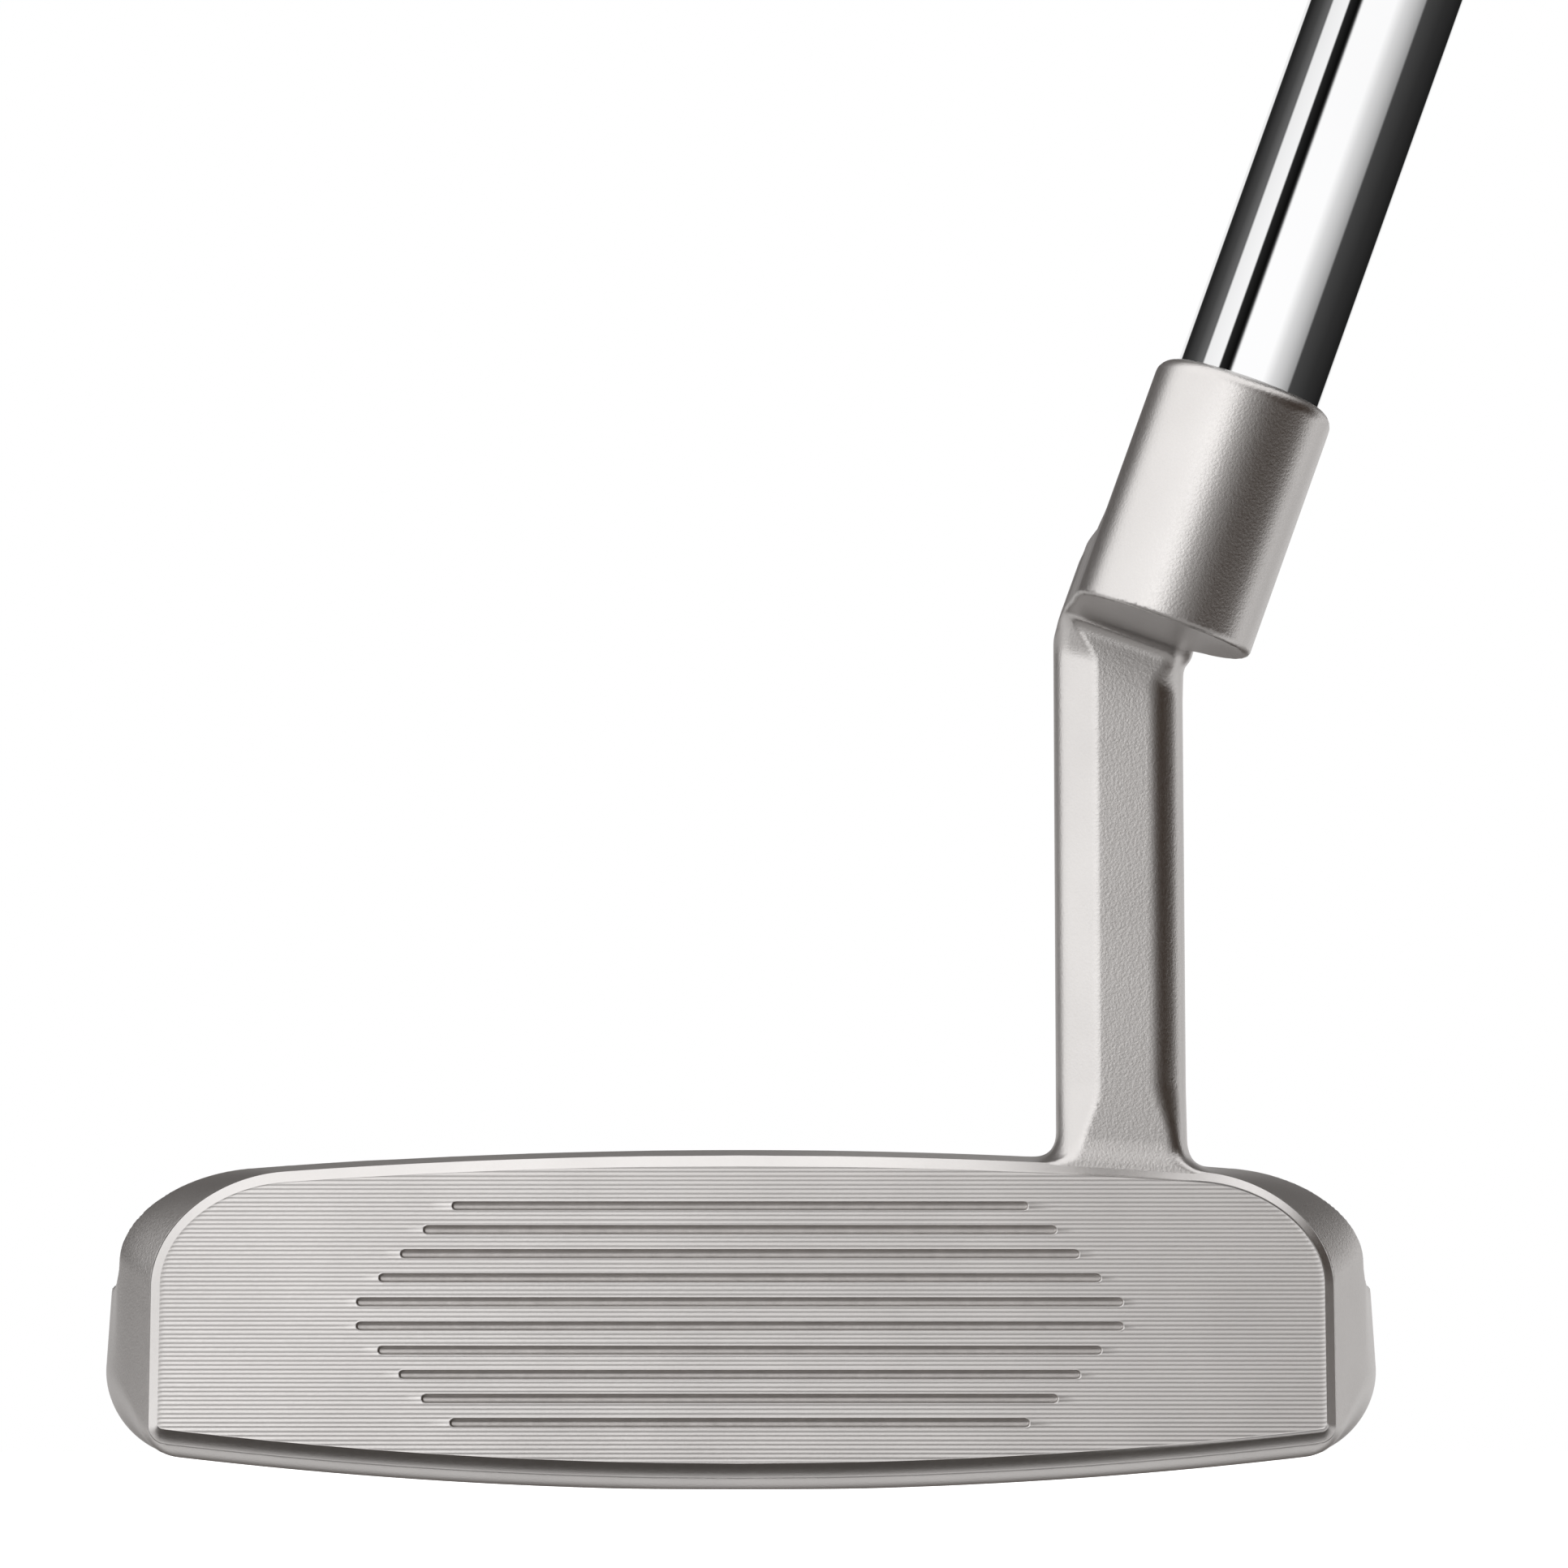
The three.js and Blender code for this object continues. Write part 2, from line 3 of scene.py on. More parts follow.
import bmesh
import bpy
import numpy as np
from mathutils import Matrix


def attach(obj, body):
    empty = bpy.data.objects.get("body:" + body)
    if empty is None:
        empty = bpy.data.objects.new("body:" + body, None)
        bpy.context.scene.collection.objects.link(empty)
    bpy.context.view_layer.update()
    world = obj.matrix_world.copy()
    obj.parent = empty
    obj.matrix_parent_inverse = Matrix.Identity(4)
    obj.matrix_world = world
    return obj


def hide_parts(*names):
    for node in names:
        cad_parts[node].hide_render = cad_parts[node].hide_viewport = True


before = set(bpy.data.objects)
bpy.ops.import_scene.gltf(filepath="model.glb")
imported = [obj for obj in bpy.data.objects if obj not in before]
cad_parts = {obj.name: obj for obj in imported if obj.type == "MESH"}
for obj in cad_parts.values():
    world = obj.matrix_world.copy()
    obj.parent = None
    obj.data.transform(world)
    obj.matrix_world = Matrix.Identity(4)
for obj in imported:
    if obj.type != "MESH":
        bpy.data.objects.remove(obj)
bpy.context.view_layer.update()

MM = 0.001

# ---- dimensions in millimetres, mostly shared with the CAD --------------------------------------

LOFT = math.radians(3)
TAN_LOFT = math.tan(LOFT)
LEAN = math.radians(19.9)  # of the shaft, from the vertical
CLUB_LENGTH = 863.6  # along the shaft
FIT_GAP = 0.3  # between pieces that touch

# the head: depths run back from the face, heights up from the lowest point of the unground sole
SOLE_FLAT = 0.06  # ground off the sole, so that the head rests on z = 0
FACE_Y = -10.5
HEAD_DEPTH = 24.5
FACE_HALF = 44.8
FACE_HEEL = 0.36  # the face reaches this much further at the heel
BEVEL_DEPTH = 0.8
BEVEL_WIDTH = 0.75
BODY_HALF = 50.3
FLARE_DEPTH = 13.0
FACE_CROWN = 24.93
BEVEL_RISE = 0.87
TOPLINE_RISE = 0.82
TOPLINE_DEPTH = 7.2
BACK_LEAN = 0.7
CROWN_RADIUS = 500.0
TOP_CORNER_RISES = (7.2, 8.1, 6.3)  # at the face, at the bevel's back and at the blade's back
TOP_CORNER_RUNS = (9.4, 10.2, 10.2)
SOLE_RADIUS = 375.0
SIDE_DRAFT = 0.055
DRAFT_HEIGHT = 9.5
DRAFT_DEPTH = 7
LEADING_RADIUS = 3.87
LEADING_RUN = 3.42
TRAILING_RADIUS = 3.0
SOLE_CORNER_FACE = 0.4
SOLE_CORNER_BACK = 6.0
SOLE_CORNER_DEPTH = 9
REAR_CORNER = 8.5
BUMPER_TOP = 16.1
BUMPER_REAR = 10.5
BUMPER_FLAT = 4
CAVITY_HALF = 23.0
CAVITY_FLOOR = 6.2
CAVITY_LEAN = 3.4 / (BUMPER_TOP - CAVITY_FLOOR)
LINE_HALF = 0.8  # sight line: half width, middle, half length and depth
LINE_MIDDLE = 15.5
LINE_REACH = 5.5
LINE_DEPTH = 0.8

# the milled face: a thin plate of its own over the casting's front
PLATE_BACK = 0.65
CASTING_FRONT = PLATE_BACK - 0.05
GROOVE_HALVES = (22.3, 24.5, 26.25, 27.9, 29.6)
GROOVE_COUNT = 2 * len(GROOVE_HALVES)
GROOVE_TOP = 21.85
GROOVE_PITCH = 1.855
GROOVE_WIDTH = 0.7
GROOVE_DEPTH = 0.35
MILLING_PITCH = 0.339
MILLING_DEPTH = 0.027
MILLING_RIM = 0.25  # width of the plain rim round the milled rows
OUTLINE_STEPS = 400  # samples of each segment of the outline
FACE_FIXED = 34.0  # the mesh's columns stand still to here and follow the outline further out
BEVEL_RINGS = (0.015, 0.2, 0.4, 0.6, 0.785, 0.8, 0.815, 0.96)  # depths, to just past the bevel

# the neck
POST_X = 29.82
POST_HALF = 5.12
POST_DEPTH = 2.3
POST_FRONT = FACE_Y + POST_DEPTH
POST_BACK = FACE_Y + 8.5
POST_FOOT = 6.5  # height over which the post's chamfers run out at its foot
POST_HEAD = 3.2  # and below the arm
CHAMFER_FADE = 0.95
FRONT_CHAMFER = (0.587, 0.8096)  # unit normals
REAR_CHAMFER = (0.703, 0.711)
TOE_FLAT = 2.1  # reach of the post's flats from its middle
HEEL_FLAT = 2.8
REAR_FLAT = 3.2
HOSEL_FOOT = np.array((32.45, FACE_Y - 6.5, 66.0))
HOSEL_RADIUS = 7.1
HOSEL_LENGTH = 19.8
HOSEL_BORE = 5.8
HOSEL_FLOOR = 3.6
LIP_DROOP = 0.42  # dip of the hosel's rims at the front
ARM_LEFT = 7.65
ARM_RIGHT = 3.1
ARM_HEIGHT = 8.0

# the weight screws, which stand square to the CAD's sole
WEIGHT_X = 35.0
WEIGHT_Y = FACE_Y + 15
CAD_SOLE_RADIUS = 400
WEIGHT_SLOPE = math.asin(WEIGHT_X / CAD_SOLE_RADIUS)
WEIGHT_SEAT = WEIGHT_X**2 / (2 * CAD_SOLE_RADIUS)
POCKET_RADIUS = 6.42
POCKET_DEPTH = 3.6
STEM_HOLE_RADIUS = 3.3
STEM_HOLE_DEPTH = 8.5
SCREW_RADIUS = 6.2
STEM_RADIUS = 3.0
SOCKET_FLATS = 4.0
SOCKET_DEPTH = 2.4

# shaft and grip: distances run along the shaft from the hosel's foot
BUTT = CLUB_LENGTH - HOSEL_FOOT[2] / math.cos(LEAN)
SHAFT_TIP = 5.7
SHAFT_BUTT = 7.4
SHAFT_WALL = 0.65
SHAFT_EDGE = 0.3
TAPER_FROM = 250
TAPER_TO = 520
GRIP_FROM = BUTT - 267
GRIP_MOUTH = 10
GRIP_FRONT = 11.2
GRIP_SIDE = 12.6
GRIP_BACK = 13
GRIP_SWELL = 5.5
GRIP_BORE = 7.8
CAP_HEIGHT = 4.2
GRIP_SIDES = 128
CUT_PITCH = 2.4  # moulded pattern: cross cuts on the thumb flat
CUT_DEPTH = 0.3
RIB_PITCH = 4.8  # and ribs round the back
RIB_DEPTH = 0.38
SHAFT_FOOT = HOSEL_FLOOR + FIT_GAP
SHAFT_END = BUTT - CAP_HEIGHT - FIT_GAP

# ---- smooth solids as distance fields -----------------------------------------------------------


def smax(a, b, blend):
    """Larger of two fields, rounded over a blend width: an intersection with a soft edge."""
    near = np.maximum(blend - np.abs(a - b), 0) / blend
    return np.maximum(a, b) + near * near * blend / 4


def smin(a, b, blend):
    """Smaller of two fields: a union with a fillet."""
    return -smax(-a, -b, blend)


def corner(a, b, radius):
    """Intersection of two fields with a round edge of a true radius."""
    outside = np.hypot(np.maximum(a + radius, 0), np.maximum(b + radius, 0))
    return np.minimum(np.maximum(a, b), -radius) + outside


def mix(a, b, t):
    """Straight blend from a to b."""
    return a + (b - a) * t


def ease(t):
    """Smooth step from 0 to 1."""
    t = np.clip(t, 0, 1)
    return t * t * (3 - 2 * t)


def half_at(depth, heel):
    """Half length of the head at a depth behind the face, on the heel side or the toe side."""
    flare = np.clip((depth - BEVEL_DEPTH) / FLARE_DEPTH, 0, 1)
    start = FACE_HALF + FACE_HEEL * heel + BEVEL_WIDTH
    half = mix(start, BODY_HALF, np.sin(flare * math.pi / 2))
    bevel = BEVEL_WIDTH * np.minimum(depth / BEVEL_DEPTH - 1, 0)
    past = np.clip(depth - (HEAD_DEPTH - REAR_CORNER), 0, REAR_CORNER)
    return half + bevel - REAR_CORNER + np.sqrt(REAR_CORNER**2 - past**2)


def crown_at(depth):
    """Height of the top line's middle at a depth."""
    bevel = BEVEL_RISE * np.minimum(depth / BEVEL_DEPTH, 1)
    rise = TOPLINE_RISE * np.maximum(depth - BEVEL_DEPTH, 0) / (TOPLINE_DEPTH - BEVEL_DEPTH)
    return FACE_CROWN + bevel + rise


def sole_at(depth):
    """Height of the sole's middle at a depth."""
    front = np.clip(LEADING_RUN - depth, 0, LEADING_RADIUS)
    rear = np.clip(depth - (HEAD_DEPTH - TRAILING_RADIUS), 0, TRAILING_RADIUS)
    return (
        LEADING_RADIUS
        - np.sqrt(LEADING_RADIUS**2 - front**2)
        + TRAILING_RADIUS
        - np.sqrt(TRAILING_RADIUS**2 - rear**2)
    )


def top_corner_at(depth):
    """Run along the head and rise of the upper corners, which are quarter ellipses."""
    depths = (0, BEVEL_DEPTH, TOPLINE_DEPTH)
    return np.interp(depth, depths, TOP_CORNER_RUNS), np.interp(depth, depths, TOP_CORNER_RISES)


def sole_corner_at(depth):
    """Radius of the lower corners at a depth."""
    share = np.clip(depth / SOLE_CORNER_DEPTH, 0, 1)
    return mix(SOLE_CORNER_FACE, SOLE_CORNER_BACK, np.sin(share * math.pi / 2))


def back_at(height):
    """Plane of the blade's back."""
    return FACE_Y + TOPLINE_DEPTH + height * TAN_LOFT * BACK_LEAN


def bumper_at(y):
    """Height of the bumpers' top behind the blade."""
    run = HEAD_DEPTH - TOPLINE_DEPTH - BUMPER_FLAT
    fall = np.clip((y - back_at(BUMPER_TOP) - BUMPER_FLAT) / run, 0, 1.3)
    return BUMPER_TOP - (BUMPER_TOP - BUMPER_REAR) * fall**2


def along_shaft(x, height):
    """Coordinates across the shaft, towards the heel, and along it from the hosel's foot."""
    dx = x - HOSEL_FOOT[0]
    dz = height - HOSEL_FOOT[2]
    return dx * math.cos(LEAN) - dz * math.sin(LEAN), dx * math.sin(LEAN) + dz * math.cos(LEAN)


def head_field(x, y, height):
    """The blade, bumpers and flange, kept a little inside the plate that covers their front."""
    ax = np.abs(x)
    lean = TAN_LOFT * height
    depth = (y - FACE_Y - lean) / (1 - lean / HEAD_DEPTH)
    shy = 0.08 * ease((1.0 - depth) / 0.4)
    draft = SIDE_DRAFT * np.maximum(height - DRAFT_HEIGHT, 0) * ease((depth - DRAFT_DEPTH) / 3)
    side = ax - half_at(depth, x > 0) + shy + draft
    top = height - crown_at(depth) + x * x / (2 * CROWN_RADIUS) + shy
    low = sole_at(depth) + x * x / (2 * SOLE_RADIUS) - height + shy
    run, rise = top_corner_at(depth)
    squash = mix(1.0, rise / run, ease((height - 9) / 6))
    body = corner(side * squash, top, rise)
    body = corner(body, low, sole_corner_at(depth))
    body = smax(body, CASTING_FRONT - depth, 0.1)
    body = smax(body, depth - HEAD_DEPTH, 1.0)
    behind = y - back_at(height)
    over = height - bumper_at(y)
    body = smax(body, smin(behind, over, 2.2), 0.45)
    wall = CAVITY_HALF + CAVITY_LEAN * (height - CAVITY_FLOOR) - ax
    cavity = smin(smin(wall, behind, 3.5), height - CAVITY_FLOOR, 3.0)
    body = smax(body, cavity, 0.9)
    line = np.minimum(LINE_HALF - ax, LINE_REACH - np.abs(y - FACE_Y - LINE_MIDDLE))
    line = np.minimum(line, height - CAVITY_FLOOR + LINE_DEPTH)
    body = smax(body, line, 0.2)
    out = (ax - WEIGHT_X) * math.sin(WEIGHT_SLOPE)
    across = (ax - WEIGHT_X) * math.cos(WEIGHT_SLOPE)
    lift = height - WEIGHT_SEAT
    inward = lift * math.cos(WEIGHT_SLOPE) - out
    across = across + lift * math.sin(WEIGHT_SLOPE)
    ring = np.hypot(across, y - WEIGHT_Y)
    wide = np.minimum(POCKET_RADIUS - ring, POCKET_DEPTH - inward)
    narrow = np.minimum(STEM_HOLE_RADIUS - ring, STEM_HOLE_DEPTH - inward)
    return smax(body, np.maximum(wide, narrow), 0.25)


def neck_field(x, y, height):
    """Post, arm and hosel of the plumber's neck."""
    px = x - POST_X
    foot = crown_at(POST_DEPTH) - POST_X**2 / (2 * CROWN_RADIUS)
    u, s = along_shaft(x, height)
    at_foot = ease((foot + POST_FOOT - height) / POST_FOOT)
    at_head = ease((s + POST_HEAD) / POST_HEAD)
    fade = CHAMFER_FADE * at_foot + CHAMFER_FADE * at_head
    front = POST_FRONT - y
    across, along = FRONT_CHAMFER
    toe_chamfer = -across * (px + TOE_FLAT) + along * front - fade
    heel_chamfer = across * (px - HEEL_FLAT) + along * front - fade
    across, along = REAR_CHAMFER
    rear_chamfer = across * (np.abs(px) - REAR_FLAT) + along * (y - POST_BACK)
    post = smax(smax(front, toe_chamfer, 0.25), heel_chamfer, 0.4)
    post = smax(smax(post, -px - POST_HALF, 1.3), px - POST_HALF, 2.0)
    post = smax(smax(post, y - POST_BACK, 0.3), rear_chamfer, 0.6)
    post = smax(smax(post, -u - ARM_LEFT, 0.3), s - 4, 0.3)
    post = smax(post, 20 - height, 0.3)
    hosel_y = y - HOSEL_FOOT[1]
    swell = (ARM_LEFT - HOSEL_RADIUS) * np.clip(hosel_y / 10, 0, 1)
    arm = corner(-u - HOSEL_RADIUS - swell, s - ARM_HEIGHT, 2.5)
    arm = smax(smax(arm, u - ARM_RIGHT, 0.8), smax(-hosel_y, y - POST_BACK, 0.3), 1.6)
    radius = np.hypot(u, hosel_y)
    droop = LIP_DROOP * np.clip(-hosel_y / HOSEL_RADIUS, 0, 1) ** 2
    hosel = corner(radius - HOSEL_RADIUS, s - HOSEL_LENGTH + droop, 1.2)
    neck = corner(smin(arm, hosel, 0.8), -s - droop, 0.4)
    neck = smin(neck, post, 1.3)
    neck = smax(smax(neck, y - POST_BACK, 0.3), -u - HOSEL_RADIUS - swell - 0.05, 0.2)
    return smax(neck, np.minimum(HOSEL_BORE - radius, s - HOSEL_FLOOR), 0.25)


def casting_field(x, y, z):
    """Head and neck as one casting, cut off where the face plate and the ground are."""
    height = z + SOLE_FLAT
    solid = smin(head_field(x, y, height), neck_field(x, y, height), 2.2)
    plate = CASTING_FRONT - (y - FACE_Y - TAN_LOFT * height)
    solid = smax(solid, np.where(height < 30, plate, -5.0), 0.1)
    return smax(solid, -z, 0.1)


def steps(*runs):
    """Grid positions from runs of (start, end, spacing)."""
    parts = [np.linspace(a, b, max(2, round((b - a) / step) + 1))[:-1] for a, b, step in runs]
    return np.concatenate(parts + [np.array([runs[-1][1]])])


def skin(field, xs, ys, zs):
    """Quads and points of the surface where the field is zero: one point in each crossed cell."""
    grid = np.empty((len(xs), len(ys), len(zs)), np.float32)
    yy, zz = np.meshgrid(ys, zs, indexing="ij")
    for i, x in enumerate(xs):
        grid[i] = field(np.full_like(yy, x), yy, zz)
    inside = grid < 0
    shape = [n - 1 for n in grid.shape]
    count = np.zeros(shape, np.int8)
    corners = [(i, j, k) for i in (0, 1) for j in (0, 1) for k in (0, 1)]
    for i, j, k in corners:
        count += inside[i : i + shape[0], j : j + shape[1], k : k + shape[2]]
    cells = np.argwhere((count > 0) & (count < 8))
    index = np.full(shape, -1, np.int64)
    index[tuple(cells.T)] = np.arange(len(cells))
    value = {c: grid[tuple((cells + c).T)] for c in corners}
    place = {
        c: np.stack([xs[cells[:, 0] + c[0]], ys[cells[:, 1] + c[1]], zs[cells[:, 2] + c[2]]], 1)
        for c in corners
    }
    total = np.zeros((len(cells), 3))
    hits = np.zeros(len(cells))
    for a in corners:
        for axis in range(3):
            if a[axis]:
                continue
            b = tuple(1 if n == axis else a[n] for n in range(3))
            crossed = (value[a] < 0) != (value[b] < 0)
            t = np.where(crossed, value[a] / np.where(crossed, value[a] - value[b], 1), 0)
            total += np.where(crossed[:, None], place[a] + (place[b] - place[a]) * t[:, None], 0)
            hits += crossed
    points = total / hits[:, None]
    quads = []
    for axis in range(3):
        one, two = (axis + 1) % 3, (axis + 2) % 3
        here = [slice(1, -1)] * 3
        here[axis] = slice(0, -1)
        after = list(here)
        after[axis] = slice(1, None)
        low, high = inside[tuple(here)], inside[tuple(after)]
        found = np.argwhere(low != high)
        up = low[tuple(found.T)]
        found[:, one] += 1
        found[:, two] += 1
        ring = []
        for da, db in ((-1, -1), (0, -1), (0, 0), (-1, 0)):
            cell = found.copy()
            cell[:, one] += da
            cell[:, two] += db
            ring.append(index[tuple(cell.T)])
        ring = np.stack(ring, 1)
        quads.append(np.where(up[:, None], ring, ring[:, ::-1]))
    return points, np.concatenate(quads)


def slope(field, points, reach):
    """Gradient of a field at some points."""
    result = np.empty_like(points)
    for axis in range(3):
        ahead, behind = points.copy(), points.copy()
        ahead[:, axis] += reach
        behind[:, axis] -= reach
        result[:, axis] = (field(*ahead.T) - field(*behind.T)) / (2 * reach)
    return result


def settle(field, points, limit):
    """Moves points onto the surface."""
    for _ in range(4):
        gradient = slope(field, points, 0.02)
        size = np.maximum((gradient**2).sum(1), 0.05)
        move = -gradient * (field(*points.T) / size)[:, None]
        points = points + np.clip(move, -limit, limit)
    return points


# ---- mesh helpers -------------------------------------------------------------------------------


def make(name, points, faces, body, nodes, material):
    """A mesh piece from points in millimetres, riding on a body."""
    mesh = bpy.data.meshes.new(name)
    if isinstance(faces, np.ndarray):
        faces = faces.tolist()
    mesh.from_pydata((np.asarray(points) * MM).tolist(), [], faces)
    mesh.validate()
    mesh.update()
    mesh.shade_smooth()
    piece = bpy.data.objects.new(name, mesh)
    bpy.context.scene.collection.objects.link(piece)
    piece.data.materials.append(material)
    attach(piece, body)
    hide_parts(*nodes)
    return piece


def circle(sides):
    """Even angles round a circle."""
    return np.arange(sides) * 2 * math.pi / sides


def bridge(first, second, count):
    """Quads between two rings of point numbers that start at first and second."""
    i = np.arange(count)
    j = (i + 1) % count
    return np.stack([first + i, first + j, second + j, second + i], 1)


# ---- materials ----------------------------------------------------------------------------------


class Nodes:
    """Short calls for building a node tree."""

    def __init__(self, tree):
        self.tree = tree

    def add(self, kind, **settings):
        node = self.tree.nodes.new(kind)
        for key, value in settings.items():
            setattr(node, key, value)
        return node

    def put(self, socket, value):
        if isinstance(value, bpy.types.NodeSocket):
            self.tree.links.new(value, socket)
        else:
            socket.default_value = value

    def calc(self, operation, *values):
        """Arithmetic on one or two values."""
        node = self.add("ShaderNodeMath", operation=operation)
        for socket, value in zip(node.inputs, values):
            self.put(socket, value)
        return node.outputs[0]

    def spread(self, value, low, high, to_low, to_high, smooth=False):
        """Maps low..high to to_low..to_high, without going past either end."""
        kind = "SMOOTHSTEP" if smooth else "LINEAR"
        node = self.add("ShaderNodeMapRange", interpolation_type=kind)
        for socket, item in zip(node.inputs, (value, low, high, to_low, to_high)):
            self.put(socket, item)
        return node.outputs[0]

    def noise(self, place, scale, detail):
        node = self.add("ShaderNodeTexNoise")
        self.put(node.inputs["Vector"], place)
        node.inputs["Scale"].default_value = scale
        node.inputs["Detail"].default_value = detail
        node.inputs["Roughness"].default_value = 0.5
        return node.outputs["Fac"]

    def blend(self, factor, first, second):
        node = self.add("ShaderNodeMix", data_type="RGBA")
        self.put(node.inputs["Factor"], factor)
        self.put(node.inputs["A"], first)
        self.put(node.inputs["B"], second)
        return node.outputs["Result"]

    def gain(self, color, factor):
        node = self.add("ShaderNodeVectorMath", operation="SCALE")
        self.put(node.inputs[0], color)
        self.put(node.inputs["Scale"], factor)
        return node.outputs[0]

    def ramp(self, value, stops, tint=(0, 0, 0)):
        """Grey levels along a value, each with a tint added."""
        node = self.add("ShaderNodeValToRGB")
        self.put(node.inputs["Fac"], value)
        elements = node.color_ramp.elements
        while len(elements) > 1:
            elements.remove(elements[-1])
        for k, (place, level) in enumerate(stops):
            stop = elements[0] if k == 0 else elements.new(place)
            stop.position = place
            stop.color = (level + tint[0], level + tint[1], level + tint[2], 1)
        return node.outputs["Color"]


def finish_material(
    name, tones, tone_scale, rough, grains, rough_scale=None, metallic=0.0, specular=0.5
):
    """A surface with mottled tone, uneven gloss and fine grains, all at real scale in metres.

    Roughness is one number, or a pair to vary between at a scale. A grain is a scale, a height and
    a strength.
    """
    material = bpy.data.materials.new(name)
    material.use_nodes = True
    tree = Nodes(material.node_tree)
    shader = material.node_tree.nodes["Principled BSDF"]
    place = tree.add("ShaderNodeTexCoord").outputs["Object"]
    tone = tree.spread(tree.noise(place, tone_scale, 4), 0.3, 0.7, 0, 1)
    tree.put(shader.inputs["Base Color"], tree.blend(tone, (*tones[0], 1), (*tones[1], 1)))
    if rough_scale:
        fine = tree.noise(place, rough_scale, 3)
        tree.put(shader.inputs["Roughness"], tree.spread(fine, 0.3, 0.7, *rough))
    else:
        shader.inputs["Roughness"].default_value = rough
    for scale, height, strength in grains:
        grain = tree.add("ShaderNodeBump")
        grain.inputs["Strength"].default_value = strength
        grain.inputs["Distance"].default_value = height
        tree.put(grain.inputs["Height"], tree.noise(place, scale, 2))
        linked = shader.inputs["Normal"].links
        if linked:
            tree.put(grain.inputs["Normal"], linked[0].from_socket)
        tree.put(shader.inputs["Normal"], grain.outputs["Normal"])
    shader.inputs["Metallic"].default_value = metallic
    shader.inputs["Specular IOR Level"].default_value = specular
    return material


SATIN = finish_material(
    "satin_steel",
    tones=((0.570, 0.557, 0.549), (0.625, 0.612, 0.603)),
    tone_scale=90,
    rough=(0.29, 0.36),
    rough_scale=5000,
    grains=[(5200, 1.8e-5, 1.0)],
    metallic=1.0,
)
MILLED = finish_material(
    "milled_steel",
    tones=((0.605, 0.592, 0.584), (0.665, 0.652, 0.643)),
    tone_scale=90,
    rough=(0.30, 0.38),
    rough_scale=5000,
    grains=[(7500, 5e-6, 1.0)],
    metallic=1.0,
)
# darker than the milled face: painted shade in the recessed grooves, where the steel itself is the
# same
SHADED_GROOVE = finish_material(
    "groove_steel_painted_shade",
    tones=((0.50, 0.482, 0.47), (0.56, 0.54, 0.528)),
    tone_scale=900,
    rough=(0.38, 0.48),
    rough_scale=4000,
    grains=[(4200, 6e-6, 1.0)],
    metallic=1.0,
)
CHROME = finish_material(
    "chromed_steel",
    tones=((0.90, 0.90, 0.905), (0.95, 0.95, 0.955)),
    tone_scale=25,
    rough=0.0,
    grains=[(60, 4e-6, 1.0)],
    metallic=1.0,
)
TURNED = finish_material(
    "weight_steel",
    tones=((0.52, 0.51, 0.50), (0.60, 0.59, 0.58)),
    tone_scale=400,
    rough=(0.20, 0.30),
    rough_scale=4000,
    grains=[(5200, 2e-6, 1.0)],
    metallic=1.0,
)
RUBBER = finish_material(
    "grip_rubber",
    tones=((0.012, 0.012, 0.013), (0.022, 0.022, 0.023)),
    tone_scale=900,
    rough=(0.62, 0.80),
    rough_scale=2500,
    grains=[(3200, 2e-5, 0.6), (700, 3e-5, 0.4)],
    specular=0.4,
)
CAP = finish_material(
    "cap_rubber",
    tones=((0.014, 0.014, 0.015), (0.024, 0.024, 0.025)),
    tone_scale=500,
    rough=(0.45, 0.58),
    rough_scale=2500,
    grains=[(2600, 1e-5, 0.5)],
)
PAINT = finish_material(
    "black_paint",
    tones=((0.008, 0.008, 0.008), (0.016, 0.016, 0.016)),
    tone_scale=1500,
    rough=(0.30, 0.42),
    rough_scale=3000,
    grains=[(1500, 1e-5, 0.6)],
)
EPOXY = finish_material(
    "epoxy",
    tones=((0.52, 0.42, 0.22), (0.62, 0.52, 0.30)),
    tone_scale=800,
    rough=(0.30, 0.45),
    rough_scale=2000,
    grains=[(900, 3e-5, 0.7)],
)
TAPE = finish_material(
    "tape",
    tones=((0.62, 0.56, 0.42), (0.70, 0.64, 0.50)),
    tone_scale=1200,
    rough=(0.75, 0.88),
    rough_scale=4000,
    grains=[(1800, 4e-5, 0.8)],
)

# the CAD's own meshes are good enough for the flat paint and the two hidden films
for node, material in (("sight_line", PAINT), ("hosel_adhesive", EPOXY), ("grip_tape", TAPE)):
    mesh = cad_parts[node].data
    mesh.materials.clear()
    mesh.materials.append(material)


# ---- the head and neck, one casting -------------------------------------------------------------

# the grid is finest at heel and toe, the sight line, the sole and the top line
metal_points, metal_quads = skin(
    casting_field,
    steps(
        (-51.3, -42, 0.28),
        (-42, -22, 0.42),
        (-22, -1.4, 0.6),
        (-1.4, 1.4, 0.14),
        (1.4, 22, 0.6),
        (22, 47.5, 0.33),
        (47.5, 51.3, 0.28),
    ),
    steps((-24.4, -11, 0.38), (-11, -1, 0.3), (-1, 14.8, 0.45)),
    steps(
        (-0.36, 2, 0.22),
        (2, 20, 0.45),
        (20, 29, 0.24),
        (29, 57, 0.45),
        (57, 76, 0.33),
        (76, 89, 0.42),
    ),
)
metal_points = settle(casting_field, metal_points, 0.2)
casting = make(
    "casting", metal_points, metal_quads, "club", ["head_casting"], SATIN
)
normals = slope(casting_field, metal_points, 0.05)
normals /= np.linalg.norm(normals, axis=1)[:, None]
casting.data.normals_split_custom_set_from_vertices(normals.tolist())


# ---- the milled face ----------------------------------------------------------------------------


